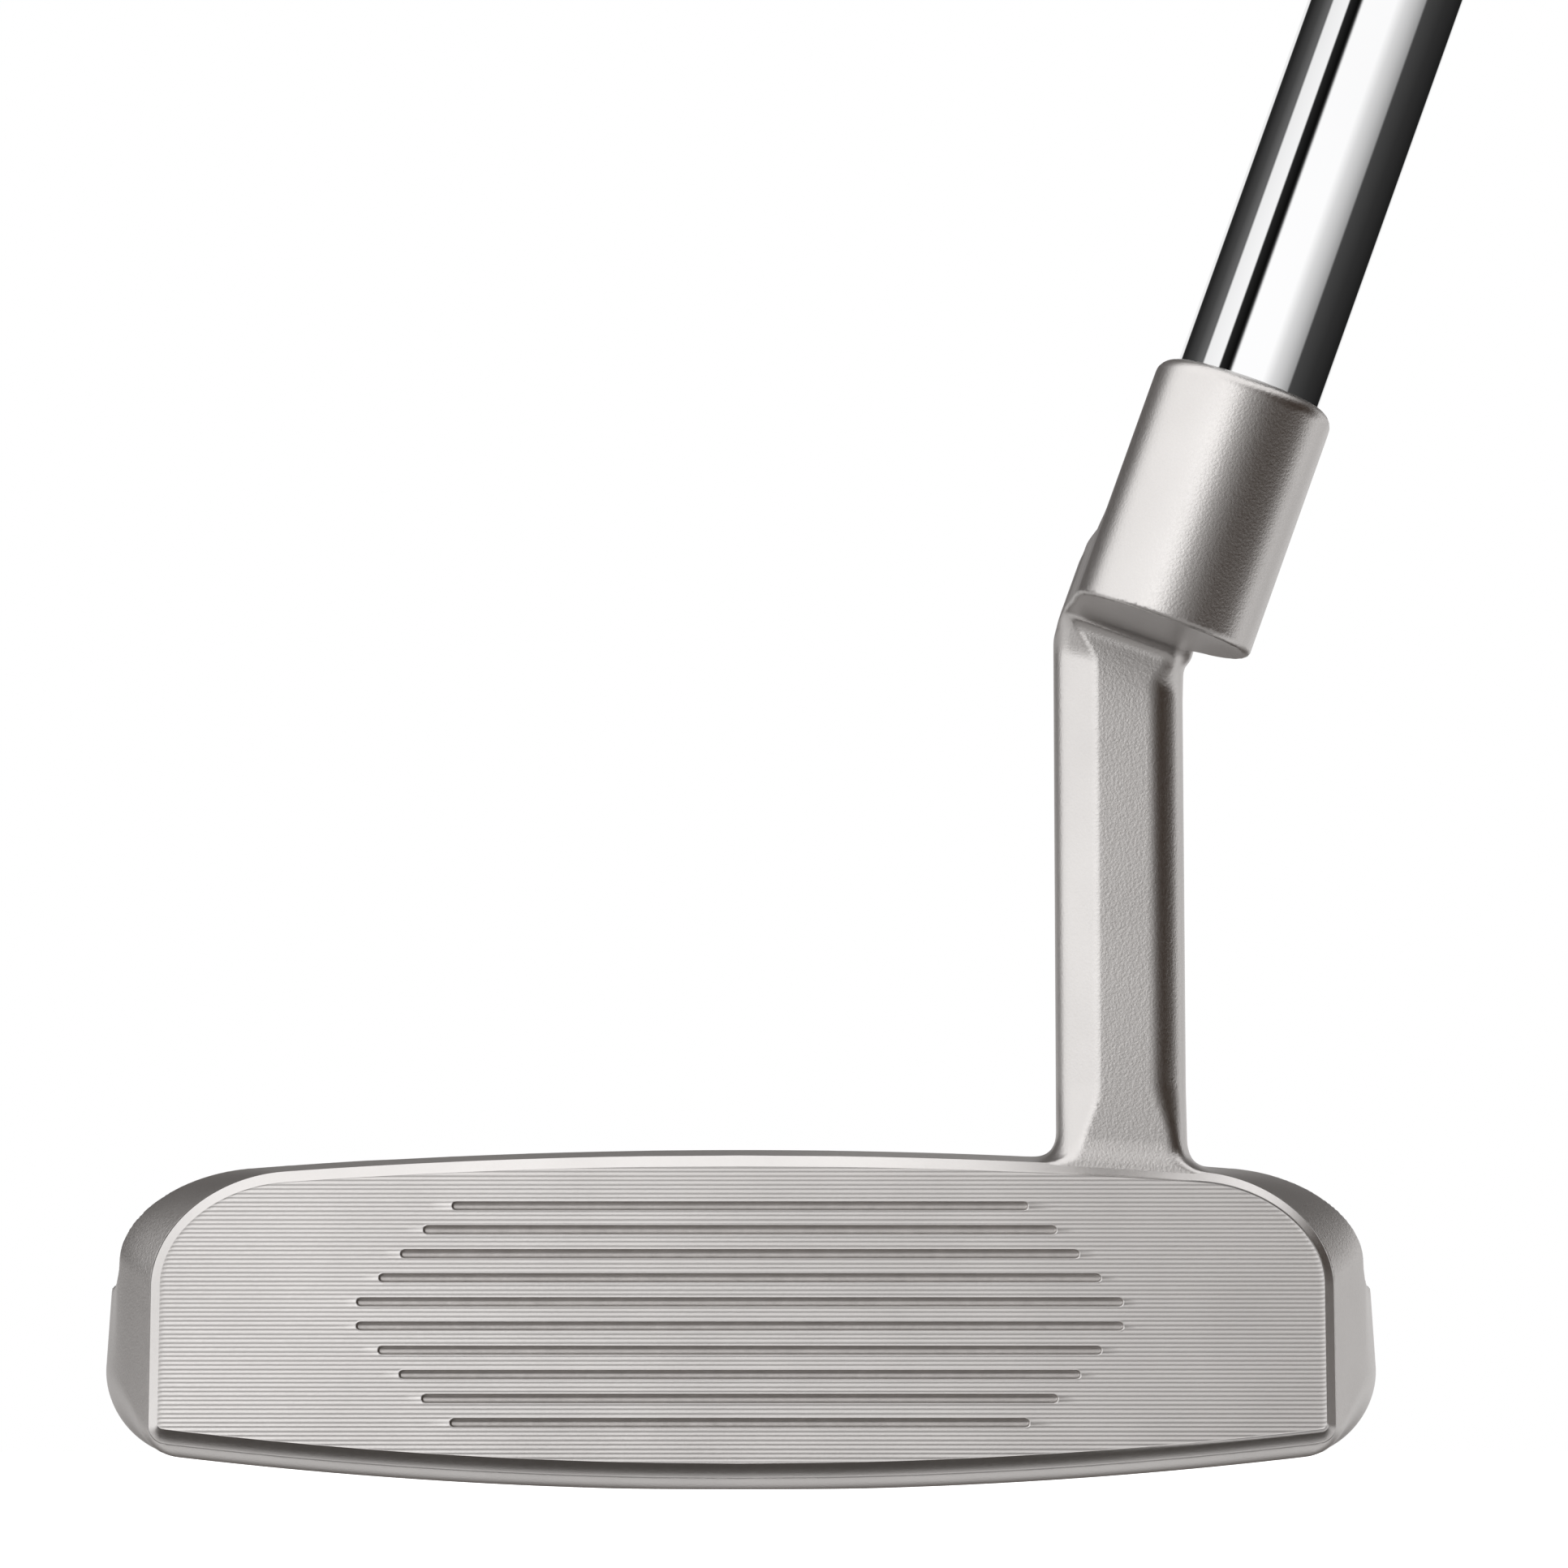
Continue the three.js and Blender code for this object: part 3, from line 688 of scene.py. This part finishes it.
def half_outline(depth, seg, t, heel):
    """Half of the head's outline at a depth, from the crown's middle round one end to the sole.

    The segments are crown, upper corner, side, lower corner and sole. In each, t runs from 0 to 1.
    """
    half, crown, sole = half_at(depth, heel), crown_at(depth), sole_at(depth)
    (run, rise), radius = top_corner_at(depth), sole_corner_at(depth)
    angle = t * (math.pi / 2)
    along = half - run
    under = half - radius
    segments = [seg == k for k in range(5)]
    x = np.select(
        segments,
        [
            along * t,
            along + run * np.sin(angle),
            half + 0 * t,
            under + radius * np.cos(angle),
            under * (1 - t),
        ],
    )
    camber = x * x / (2 * CROWN_RADIUS)
    rocker = x * x / (2 * SOLE_RADIUS)
    side_top = crown - camber - rise
    side_low = sole + rocker + radius
    height = np.select(
        segments,
        [
            crown - camber,
            crown - camber - rise * (1 - np.cos(angle)),
            mix(side_top, side_low, t),
            sole + rocker + radius * (1 - np.sin(angle)),
            sole + rocker,
        ],
    )
    return x, height


def place_on(depth, x, height):
    """Point at a depth behind the leaning face."""
    y = FACE_Y + depth + TAN_LOFT * height * (1 - depth / HEAD_DEPTH)
    return np.stack([x, y, height - SOLE_FLAT], -1)


def face_rows():
    """Heights of the mesh rows: even steps through the milling, and rows on the grooves' edges."""
    top, low = float(crown_at(0.0)), float(sole_at(0.0))
    count = round((top - low) / MILLING_PITCH * 6)
    heights = list(np.linspace(top, low, count + 1)[1:-1])
    edges = []
    for i in range(GROOVE_COUNT):
        middle = GROOVE_TOP - i * GROOVE_PITCH
        for part in (-0.5, -0.46, 0.46, 0.5):
            edges.append(middle + GROOVE_WIDTH * part)
    heights = [h for h in heights if min(abs(h - e) for e in edges) > 0.012] + edges
    return np.array(sorted(heights, reverse=True))


def side_columns():
    """Mesh columns from the middle to FACE_FIXED, crowded at the grooves' round ends."""
    ends = [half + step for half in GROOVE_HALVES for step in np.arange(-0.4, 0.06, 0.05)]
    return np.array([0.0, 5.0, 10.0, 15.0, 19.5] + ends + [30.6, 32.2, FACE_FIXED])


def join_rings(first, second):
    """Quads between two closed rings of point numbers."""
    return np.stack([first, np.roll(first, -1), np.roll(second, -1), second], 1)[:, ::-1].tolist()


def face_plate():
    """The milled face with its bevel, closed at the back. Also gives the rings that stay sharp."""
    seg = np.repeat(np.arange(5), OUTLINE_STEPS)
    t = np.tile(np.linspace(0, 1, OUTLINE_STEPS), 5)
    _, outline_h = half_outline(0.0, seg, t, 0)
    rows = face_rows()
    count = len(rows)
    where = np.interp(-rows, -outline_h, np.arange(len(seg), dtype=float))
    low = np.clip(np.floor(where).astype(int), 0, len(seg) - 2)
    low = np.where(seg[low] != seg[low + 1], low + 1, low)
    low = np.minimum(low, len(seg) - 2)
    row_seg = seg[low]
    row_t = np.clip(t[low] + (where - low) * (t[1] - t[0]), 0, 1)
    toe_wide, row_h = half_outline(0.0, row_seg, row_t, 0)
    heel_wide, _ = half_outline(0.0, row_seg, row_t, 1)

    fixed = side_columns()
    fixed = np.concatenate([-fixed[:0:-1], fixed])
    outer = 1 - np.array([0.86, 0.72, 0.58, 0.44, 0.3, 0.2, 0.12, 0.07, 0.04, 0.02, 0.008, 0.0])
    points = []
    for toe, heel, h in zip(toe_wide, heel_wide, row_h):
        scale = min(1.0, toe / (FACE_FIXED + 2))
        reach = FACE_FIXED * scale
        right = reach + (heel - reach) * outer
        left = reach + (toe - reach) * outer
        x = np.concatenate([-left[::-1], fixed * scale, right])
        row = place_on(np.zeros_like(x), x, np.full_like(x, h))
        row[:, 1] += face_relief(x, h, np.where(x > 0, heel, toe))
        points.append(row)
    width = len(points[0])
    grid = np.concatenate(points)
    top = place_on(np.array([0.0]), np.array([0.0]), np.array([outline_h[0]]))
    bottom = place_on(np.array([0.0]), np.array([0.0]), np.array([outline_h[-1]]))
    all_points = [grid, top, bottom]
    top_at, bottom_at = len(grid), len(grid) + 1
    first = np.arange(count - 1)[:, None] * width + np.arange(width - 1)[None, :]
    quads = np.stack([first, first + width, first + width + 1, first + 1], -1).reshape(-1, 4)
    faces = quads.tolist()
    for c in range(width - 1):
        last = (count - 1) * width + c
        faces.append([top_at, c, c + 1])
        faces.append([last, bottom_at, last + 1])

    # the rings of the bevel, from the face's edge back to just past the start of the flare
    left = np.arange(count) * width
    right = left + width - 1
    edge = np.concatenate([[top_at], right, [bottom_at], left[::-1]])
    ring_seg = np.concatenate([[0], row_seg, [4], row_seg[::-1]])
    ring_t = np.concatenate([[0.0], row_t, [1.0], row_t[::-1]])
    sign = np.concatenate([[1.0], np.ones(count), [1.0], -np.ones(count)])
    size = len(edge)
    start = len(grid) + 2
    previous = edge
    crease = [edge]
    for depth in BEVEL_RINGS:
        x, h = half_outline(depth, ring_seg, ring_t, sign > 0)
        all_points.append(place_on(depth, x * sign, h))
        ring = start + np.arange(size)
        start += size
        faces += join_rings(previous, ring)
        if depth == BEVEL_DEPTH:
            crease.append(ring)
        previous = ring
    middle = (float(crown_at(depth)) + float(sole_at(depth))) / 2
    all_points.append(place_on(depth, x * sign * 0.985, middle + (h - middle) * 0.95))
    ring = start + np.arange(size)
    faces += join_rings(previous, ring)

    # the back is closed with strips between its two sides
    for k in range(size // 2):
        a, b = ring[k], ring[k + 1]
        d, e = ring[(size - k) % size], ring[(size - k - 1) % size]
        strip = [int(n) for n in dict.fromkeys([a, d, e, b])]
        if len(strip) > 2:
            faces.append(strip)
    return np.concatenate(all_points), faces, crease


def face_relief(x, height, wide):
    """How far the milled face lies behind its plane: least at its rim, most in the grooves."""
    top = float(crown_at(0.0))
    phase = (top - height) / MILLING_PITCH
    ax = np.abs(x)
    edge = np.minimum((wide - ax) / MILLING_RIM, min(1.0, (top - height) / MILLING_RIM))
    fade = ease(np.clip(edge, 0, 1))
    pass_shape = (1 - 0.3 * np.cos(math.pi * phase)) * (0.5 - 0.5 * np.cos(2 * math.pi * phase))
    sink = MILLING_DEPTH * pass_shape * fade
    q, off, past = groove_reach(ax, height)
    end_wall = mix(1, ease((1 - q) / 0.2), np.clip(past / 0.2, 0, 1))
    floor = GROOVE_DEPTH * np.sqrt(np.clip(1 - off * off, 0, 1)) * end_wall
    return np.where(q < 1, floor, sink * ease((q - 1) / 0.3))


def groove_reach(ax, height):
    """Distances from the nearest groove's middle line, across it and past its end.

    All three are shares of the groove's half width.
    """
    nearest = np.round((GROOVE_TOP - height) / GROOVE_PITCH)
    nearest = np.clip(nearest, 0, GROOVE_COUNT - 1).astype(int)
    long = np.array(GROOVE_HALVES + GROOVE_HALVES[::-1])[nearest]
    radius = GROOVE_WIDTH / 2
    off = (height - (GROOVE_TOP - nearest * GROOVE_PITCH)) / radius
    past = np.maximum(ax - (long - radius), 0) / radius
    return np.hypot(past, off), off, past


plate_points, plate_faces, plate_crease = face_plate()
plate = make("face", plate_points, plate_faces, "club", ["head_casting"], MILLED)
plate.data.materials.append(SHADED_GROOVE)
# faces inside the grooves take the darker groove material, which is painted shade
for polygon in plate.data.polygons:
    x, y, z = polygon.center / MM
    on_front = y < FACE_Y + TAN_LOFT * z + 0.6
    in_shaded_groove = groove_reach(abs(x), z + SOLE_FLAT)[0] < 0.97
    polygon.material_index = int(on_front and in_shaded_groove)


def mark_sharp(piece, rings):
    """Marks the edges along rings of points as hard."""
    pairs = set()
    for ring in rings:
        for a, b in zip(ring, np.roll(ring, -1)):
            pairs.add((min(int(a), int(b)), max(int(a), int(b))))
    flags = [tuple(sorted(e.vertices)) in pairs for e in piece.data.edges]
    layer = piece.data.attributes.new("sharp_edge", "BOOLEAN", "EDGE")
    layer.data.foreach_set("value", flags)


mark_sharp(plate, plate_crease)


# ---- round pieces -------------------------------------------------------------------------------


def turned(profile, sides, shape=None):
    """Points and faces of a profile turned about Z: from axis to axis, or closed on itself."""
    angle = circle(sides)
    points, faces, rows = [], [], []
    for radius, z in profile:
        if radius == 0:
            rows.append([len(points)])
            points.append((0.0, 0.0, z))
            continue
        r = np.full(sides, radius) if shape is None else shape(radius, angle)
        rows.append(list(range(len(points), len(points) + sides)))
        points += list(zip(r * np.cos(angle), r * np.sin(angle), np.full(sides, z)))
    pairs = list(zip(rows, rows[1:]))
    if profile[0][0] > 0:
        pairs.append((rows[-1], rows[0]))
    for a, b in pairs:
        for i in range(sides):
            j = (i + 1) % sides
            ring = [a[i % len(a)], a[j % len(a)], b[j % len(b)], b[i % len(b)]]
            ring = list(dict.fromkeys(ring))
            if len(ring) > 2:
                faces.append(ring)
    return np.array(points, float), faces


def on_axis(points):
    """Moves points from the shaft's own frame, which starts at the hosel's foot."""
    across = np.array((math.cos(LEAN), 0, -math.sin(LEAN)))
    back = np.array((0, 1, 0))
    along = np.array((math.sin(LEAN), 0, math.cos(LEAN)))
    foot = HOSEL_FOOT - (0, 0, SOLE_FLAT)
    return foot + points[:, :1] * across + points[:, 1:2] * back + points[:, 2:] * along


def shaft_radius(s):
    """Outer radius of the shaft at a distance along it."""
    share = min(1, max(0, (s - TAPER_FROM) / (TAPER_TO - TAPER_FROM)))
    return SHAFT_TIP + (SHAFT_BUTT - SHAFT_TIP) * share


levels = [SHAFT_FOOT + 0.4] + list(np.linspace(HOSEL_LENGTH, TAPER_FROM, 12))
levels += list(np.linspace(TAPER_FROM + 10, TAPER_TO, 27)) + [SHAFT_END - 0.5]
profile = [(SHAFT_TIP - SHAFT_WALL, SHAFT_FOOT), (SHAFT_TIP - SHAFT_EDGE, SHAFT_FOOT)]
profile += [(shaft_radius(s), s) for s in levels]
profile += [(SHAFT_BUTT - SHAFT_EDGE, SHAFT_END), (SHAFT_BUTT - SHAFT_WALL, SHAFT_END)]
profile += [(SHAFT_BUTT - SHAFT_WALL, TAPER_TO), (SHAFT_TIP - SHAFT_WALL, TAPER_FROM)]
shaft_points, shaft_faces = turned(profile, 160)
shaft_points = on_axis(shaft_points)
make("shaft", shaft_points, shaft_faces, "club", ["shaft_tube"], CHROME)


# ---- the grip -----------------------------------------------------------------------------------


def grip_share(s):
    """Share of the grip's length below a distance along the shaft."""
    return (s - GRIP_FROM) / (BUTT - GRIP_FROM)


def grip_section(s, angle):
    """Section of the pistol grip: a thumb flat at the toe side and a swell near the butt."""
    t = grip_share(s)
    swell = ease((t - 0.55) / 0.38)
    front = mix(GRIP_MOUTH, GRIP_FRONT, min(1, 3 * t))
    side = mix(GRIP_MOUTH, GRIP_SIDE, min(1, 1.6 * t))
    back = mix(GRIP_MOUTH, GRIP_BACK, t) + GRIP_SWELL * swell
    power = mix(1, 0.55, mix(0.2, 1, min(1, 6 * t)))
    c = np.cos(angle)
    return np.where(c < 0, -front * np.abs(c) ** power, back * c), side * np.sin(angle)


def grip_relief(s, angle):
    """Depth of the moulded pattern: short cuts on the thumb flat, long ribs round the back."""
    t = grip_share(s)
    ends = ease(min(t / 0.03, 1)) * ease(min((0.965 - t) / 0.02, 1)) if 0 < t < 0.965 else 0.0
    across = -np.cos(angle)
    column = np.abs(np.sin(angle))
    flat = ease((across - 0.55) / 0.1)
    back = ease((-across + 0.35) / 0.2)
    beat = math.cos(2 * math.pi * s / CUT_PITCH)
    cuts = max(0.0, 0.5 - 0.5 * beat - 0.45) / 0.55
    shifted = max(0.0, 0.5 + 0.5 * beat - 0.45) / 0.55
    lane = (np.sin(angle) * 5.0) % 2 < 1
    dash = np.where(lane, cuts, shifted) * ease((0.78 - column) / 0.12)
    wave = 0.5 - 0.5 * np.cos(2 * math.pi * (s + 3.0 * np.sin(angle * 2)) / RIB_PITCH)
    ribs = np.clip((wave - 0.5) / 0.5, 0, 1)
    spine = ease((column - 0.1) / 0.1)
    return ends * (CUT_DEPTH * flat * dash + RIB_DEPTH * back * ribs * spine)


def level_ring(x, y, s):
    """Ring of points at one distance along the shaft."""
    return np.stack([x, y, np.full(len(x), s)], 1)


def ring_faces(count, sides):
    """Quads of a closed tube of rings."""
    bridges = [bridge(k * sides, (k + 1) % count * sides, sides) for k in range(count)]
    return np.concatenate(bridges)


def grip_sleeve():
    """Rubber sleeve: rounded rims, a moulded outside and a plain bore."""
    angle = circle(GRIP_SIDES)
    top = SHAFT_END
    rows = [(GRIP_FROM, -0.7), (GRIP_FROM + 0.35, -0.2), (GRIP_FROM + 0.9, 0.0)]
    rows += [(s, 0.0) for s in np.linspace(GRIP_FROM + 1.5, top - 0.6, 640)]
    rows += [(top - 0.2, -0.12), (top, -0.4)]
    bore = GRIP_BORE * np.cos(angle), GRIP_BORE * np.sin(angle)
    points = [level_ring(*bore, GRIP_FROM)]
    for s, inset in rows:
        x, y = grip_section(s, angle)
        r = np.hypot(x, y)
        k = (r + inset - grip_relief(s, angle)) / r
        points.append(level_ring(x * k, y * k, s))
    points.append(level_ring(*bore, top))
    return np.concatenate(points), ring_faces(len(points), GRIP_SIDES)


sleeve_points, sleeve_faces = grip_sleeve()
sleeve_points = on_axis(sleeve_points)
make("grip", sleeve_points, sleeve_faces, "club", ["grip_sleeve"], RUBBER)


def grip_cap():
    """End cap: a rounded rim, a shallow ring groove and a vent hole in the middle."""
    angle = circle(GRIP_SIDES)
    base = BUTT - CAP_HEIGHT
    # pairs of height and share of the grip's section
    rows = [(0.0, 0.985), (0.25, 1.0), (1.2, 1.0), (1.9, 0.995), (2.5, 0.98), (3.1, 0.95)]
    rows += [(3.6, 0.905), (3.95, 0.85), (4.15, 0.79), (4.2, 0.74), (4.2, 0.62), (4.05, 0.605)]
    rows += [(3.85, 0.6), (3.85, 0.56), (4.05, 0.555), (4.2, 0.54), (4.2, 0.3), (4.2, 0.14)]
    points = []
    for lift, k in rows:
        x, y = grip_section(min(base + lift, BUTT - 2), angle)
        if k < 0.5:
            # towards the vent the section turns round
            r = np.hypot(x, y)
            blend = (0.5 - k) / 0.36
            ring = 1.9 if k < 0.2 else 6.0
            x, y = mix(x * k, ring * x / r, blend), mix(y * k, ring * y / r, blend)
        else:
            x, y = x * k, y * k
        points.append(level_ring(x, y, base + lift))
    for lift, radius in ((4.15, 1.35), (3.9, 1.22), (0.0, 1.2)):
        points.append(level_ring(radius * np.cos(angle), radius * np.sin(angle), base + lift))
    return np.concatenate(points), ring_faces(len(points), GRIP_SIDES)


cap_points, cap_faces = grip_cap()
cap_points = on_axis(cap_points)
make("cap", cap_points, cap_faces, "club", ["grip_end_cap"], CAP)


# ---- the weight screws --------------------------------------------------------------------------


def weight_screw(sign):
    """Screw with turned rings on a flat head, a chamfered rim, a hexagonal socket and a thread."""
    top = -FIT_GAP
    bottom = top - SOCKET_DEPTH
    shoulder = -3.3
    # named radii are hexagons, this much wider than the socket
    margins = {"hex": 0.0, "wide": 0.22, "wide2": 0.3}
    profile = [(0, bottom - 0.35), (1.2, bottom), ("hex", bottom)]
    profile += [("hex", -0.55), ("wide", -0.32), ("wide2", top)]
    for middle in (3.5, 4.1, 4.7, 5.3):
        profile += [(middle - 0.14, top), (middle - 0.05, -0.36)]
        profile += [(middle + 0.05, -0.36), (middle + 0.14, top)]
    profile += [(5.75, top), (5.95, -0.36), (6.12, -0.52), (SCREW_RADIUS, -0.75)]
    profile += [(SCREW_RADIUS, -3.1), (6.05, shoulder), (STEM_RADIUS, shoulder)]
    for k, z in enumerate(np.arange(-3.6, -7.4, -0.35)):
        profile.append((STEM_RADIUS if k % 2 else 2.7, float(z)))
    profile += [(2.6, -7.7), (2.4, -7.9), (0, -7.9)]

    def shape(radius, angle):
        if isinstance(radius, str):
            from_flat = (angle + math.pi / 6) % (math.pi / 3) - math.pi / 6
            return SOCKET_FLATS / 2 / np.cos(from_flat) + margins[radius]
        return np.full(len(angle), radius)

    points, faces = turned(profile, 144, shape)
    outward = np.array((sign * math.sin(WEIGHT_SLOPE), 0, -math.cos(WEIGHT_SLOPE)))
    across = np.array((math.cos(WEIGHT_SLOPE), 0, sign * math.sin(WEIGHT_SLOPE)))
    third = np.cross(outward, across)
    seat = np.array((sign * WEIGHT_X, WEIGHT_Y, WEIGHT_SEAT - SOLE_FLAT))
    points = seat + points[:, :1] * across + points[:, 1:2] * third + points[:, 2:] * outward
    return points, faces


for sign, side in ((-1, "toe"), (1, "heel")):
    name, body, node = "screw_" + side, side + "_weight", "weight_screw_" + side
    screw_points, screw_faces = weight_screw(sign)
    make(name, screw_points, screw_faces, body, [node], TURNED)

# ---- clean-up of the built meshes ---------------------------------------------------------------

SHARP_FROM = {"shaft": 30, "cap": 40, "grip": 50, "screw_toe": 25, "screw_heel": 25}

# every closed piece faces outwards, and its rims stay crisp
for name in ("face", *SHARP_FROM):
    mesh = bpy.data.objects[name].data
    work = bmesh.new()
    work.from_mesh(mesh)
    bmesh.ops.recalc_face_normals(work, faces=work.faces)
    work.to_mesh(mesh)
    work.free()
for name, degrees in SHARP_FROM.items():
    bpy.data.objects[name].data.set_sharp_from_angle(angle=math.radians(degrees))

# ---- floor, light and camera --------------------------------------------------------------------

scene = bpy.context.scene
scene.view_settings.view_transform = "Standard"
scene.view_settings.look = "None"


def sheet(name, x, y, z, material_name, base, emission, strength):
    """A level rectangle on the stage that glows a little and has no gloss."""
    (left, right), (near, far) = x, y
    mesh = bpy.data.meshes.new(name)
    corners = [(left, near, z), (right, near, z), (right, far, z), (left, far, z)]
    mesh.from_pydata(corners, [], [(0, 1, 2, 3)])
    material = bpy.data.materials.new(material_name)
    material.use_nodes = True
    shader = material.node_tree.nodes["Principled BSDF"]
    shader.inputs["Base Color"].default_value = (*base, 1)
    shader.inputs["Specular IOR Level"].default_value = 0.0
    shader.inputs["Emission Color"].default_value = (*emission, 1)
    shader.inputs["Emission Strength"].default_value = strength
    mesh.materials.append(material)
    piece = bpy.data.objects.new(name, mesh)
    scene.collection.objects.link(piece)
    return piece, shader


floor, floor_shader = sheet(
    "floor", (-8, 8), (-8, 8), -0.0004, "pale_floor", (0.9, 0.9, 0.9), (1, 1, 1), 0.93
)
floor_shader.inputs["Roughness"].default_value = 0.9
floor.visible_glossy = False

# a dark card under the leading edge, seen only in the sole's reflections
flag, _ = sheet(
    "flag",
    (-0.07, 0.07),
    (-0.032, -0.0102),
    -0.005,
    "black_cloth",
    (0, 0, 0),
    (1.0, 0.9, 0.83),
    0.075,
)
flag.visible_camera = False
flag.visible_diffuse = False
flag.visible_shadow = False

world = bpy.data.worlds.new("studio")
scene.world = world
world.use_nodes = True
sky = Nodes(world.node_tree)
backing = world.node_tree.nodes["Background"]
ray = sky.add("ShaderNodeSeparateXYZ")
sky.put(ray.inputs[0], sky.add("ShaderNodeTexCoord").outputs["Generated"])
to_x, to_y, to_z = ray.outputs
path = sky.add("ShaderNodeLightPath")
turn = sky.calc("ARCTAN2", to_x, sky.calc("MULTIPLY", to_y, -1.0))
turn = sky.spread(turn, -math.pi, math.pi, 0.0, 1.0)

WARMTH = (0.024, 0.009, 0.0)  # the room adds a little warm light to every satin reflection
SATIN_ROOM = [
    (-180, 0.45), (-150, 0.64), (-126, 0.42), (-112, 0.46), (-105, 1.30), (-60, 1.34),
    (-20, 1.50), (-8, 1.40), (0, 0.97), (3, 0.56), (6, 0.37), (10, 0.39),
    (16, 0.39), (30, 0.13), (45, 0.03), (60, 0.025), (100, 0.02), (109, 1.05),
    (119, 0.95), (133, 0.62), (150, 0.86), (168, 0.76), (180, 0.45),
]
CHROME_ROOM = [
    (-180, 0.9), (-158, 0.9), (-153, 0.02), (-140, 0.02), (-110, 0.06), (-91, 0.13),
    (-86, 0.13), (-82, 0.9), (-52, 0.97), (-51, 0.90), (-49, 0.02), (-33, 0.003),
    (-30, 0.05), (-26, 1.05), (20, 1.05), (34, 0.74), (48, 0.55), (62, 0.33),
    (65, 0.06), (100, 0.03), (140, 0.015), (152, 0.015), (157, 0.9), (180, 0.9),
]
# from the camera's side (0) to behind the club (1), below the horizon
SATIN_LOW = [
    (0.0, 0.38), (0.44, 0.36), (0.5, 0.8), (0.75, 0.8), (0.87, 0.25), (0.94, 0.08), (1.0, 0.05),
]


def round_the_room(stops):
    """Ramp stops from (degrees from the camera towards the heel, brightness)."""
    return [((degrees + 180) / 360, level) for degrees, level in stops]


def both(value, low, high, other, other_low, other_high):
    """1 where both values have passed their upper ends, fading to 0 at their lower ends."""
    first = sky.spread(value, low, high, 0.0, 1.0, True)
    return sky.calc("MULTIPLY", first, sky.spread(other, other_low, other_high, 0.0, 1.0, True))


# two soft boxes round the satin head: a wide one on the toe side and one behind on the heel side
level = sky.spread(to_z, -0.25, 0.6, -0.25, 0.6)
lean_toe = sky.spread(turn, 90 / 360, 140 / 360, 32 / 360, 0.0)
lean_heel = sky.spread(turn, 220 / 360, 270 / 360, 0.0, -60 / 360)
lean = sky.calc("MULTIPLY", level, sky.calc("ADD", lean_toe, lean_heel))
satin_side = sky.ramp(sky.calc("ADD", turn, lean), round_the_room(SATIN_ROOM), WARMTH)
satin_low = sky.ramp(sky.spread(to_y, -1.0, 1.0, 0.0, 1.0), SATIN_LOW, WARMTH)
in_front = sky.spread(to_y, -0.8, -0.95, 0.0, 1.0, True)
lift = sky.calc("MULTIPLY", in_front, sky.spread(to_z, -0.1, 0.4, -0.32, 0.42))
satin_side = sky.gain(satin_side, sky.calc("ADD", lift, 1.0))
satin = sky.blend(sky.spread(to_z, -0.10, -0.36, 0.0, 1.0, True), satin_side, satin_low)
# dark high up behind the club, further down on the toe side
slant = sky.calc("ADD", to_z, sky.calc("MULTIPLY", to_x, -0.25))
behind = both(to_y, 0.28, 0.52, slant, 0.14, 0.38)
satin = sky.blend(behind, satin, (0.100, 0.091, 0.086, 1))
# and bright straight above
overhead = sky.spread(to_z, 0.55, 0.85, 0.0, 1.0, True)
overhead = sky.calc("MULTIPLY", overhead, sky.spread(to_y, 0.2, 0.5, 1.0, 0.0, True))
satin = sky.blend(overhead, satin, (1.45, 1.43, 1.42, 1))
# long strip boxes for the mirror-bright shaft
chrome = sky.ramp(turn, round_the_room(CHROME_ROOM))
seen = sky.blend(path.outputs["Is Singular Ray"], satin, chrome)
seen = sky.blend(path.outputs["Is Camera Ray"], seen, (1, 1, 1, 1))
sky.put(backing.inputs["Color"], seen)

camera_data = bpy.data.cameras.new("camera")
camera_data.sensor_width = 36
camera_data.lens = 130.64
camera_data.clip_start = 0.01
camera_data.clip_end = 100
camera = bpy.data.objects.new("camera", camera_data)
camera.location = (3.4 * MM, (FACE_Y - 440) * MM, 3.0 * MM)
camera.rotation_euler = (math.radians(90 + 6.68), 0, 0)
scene.collection.objects.link(camera)
scene.camera = camera
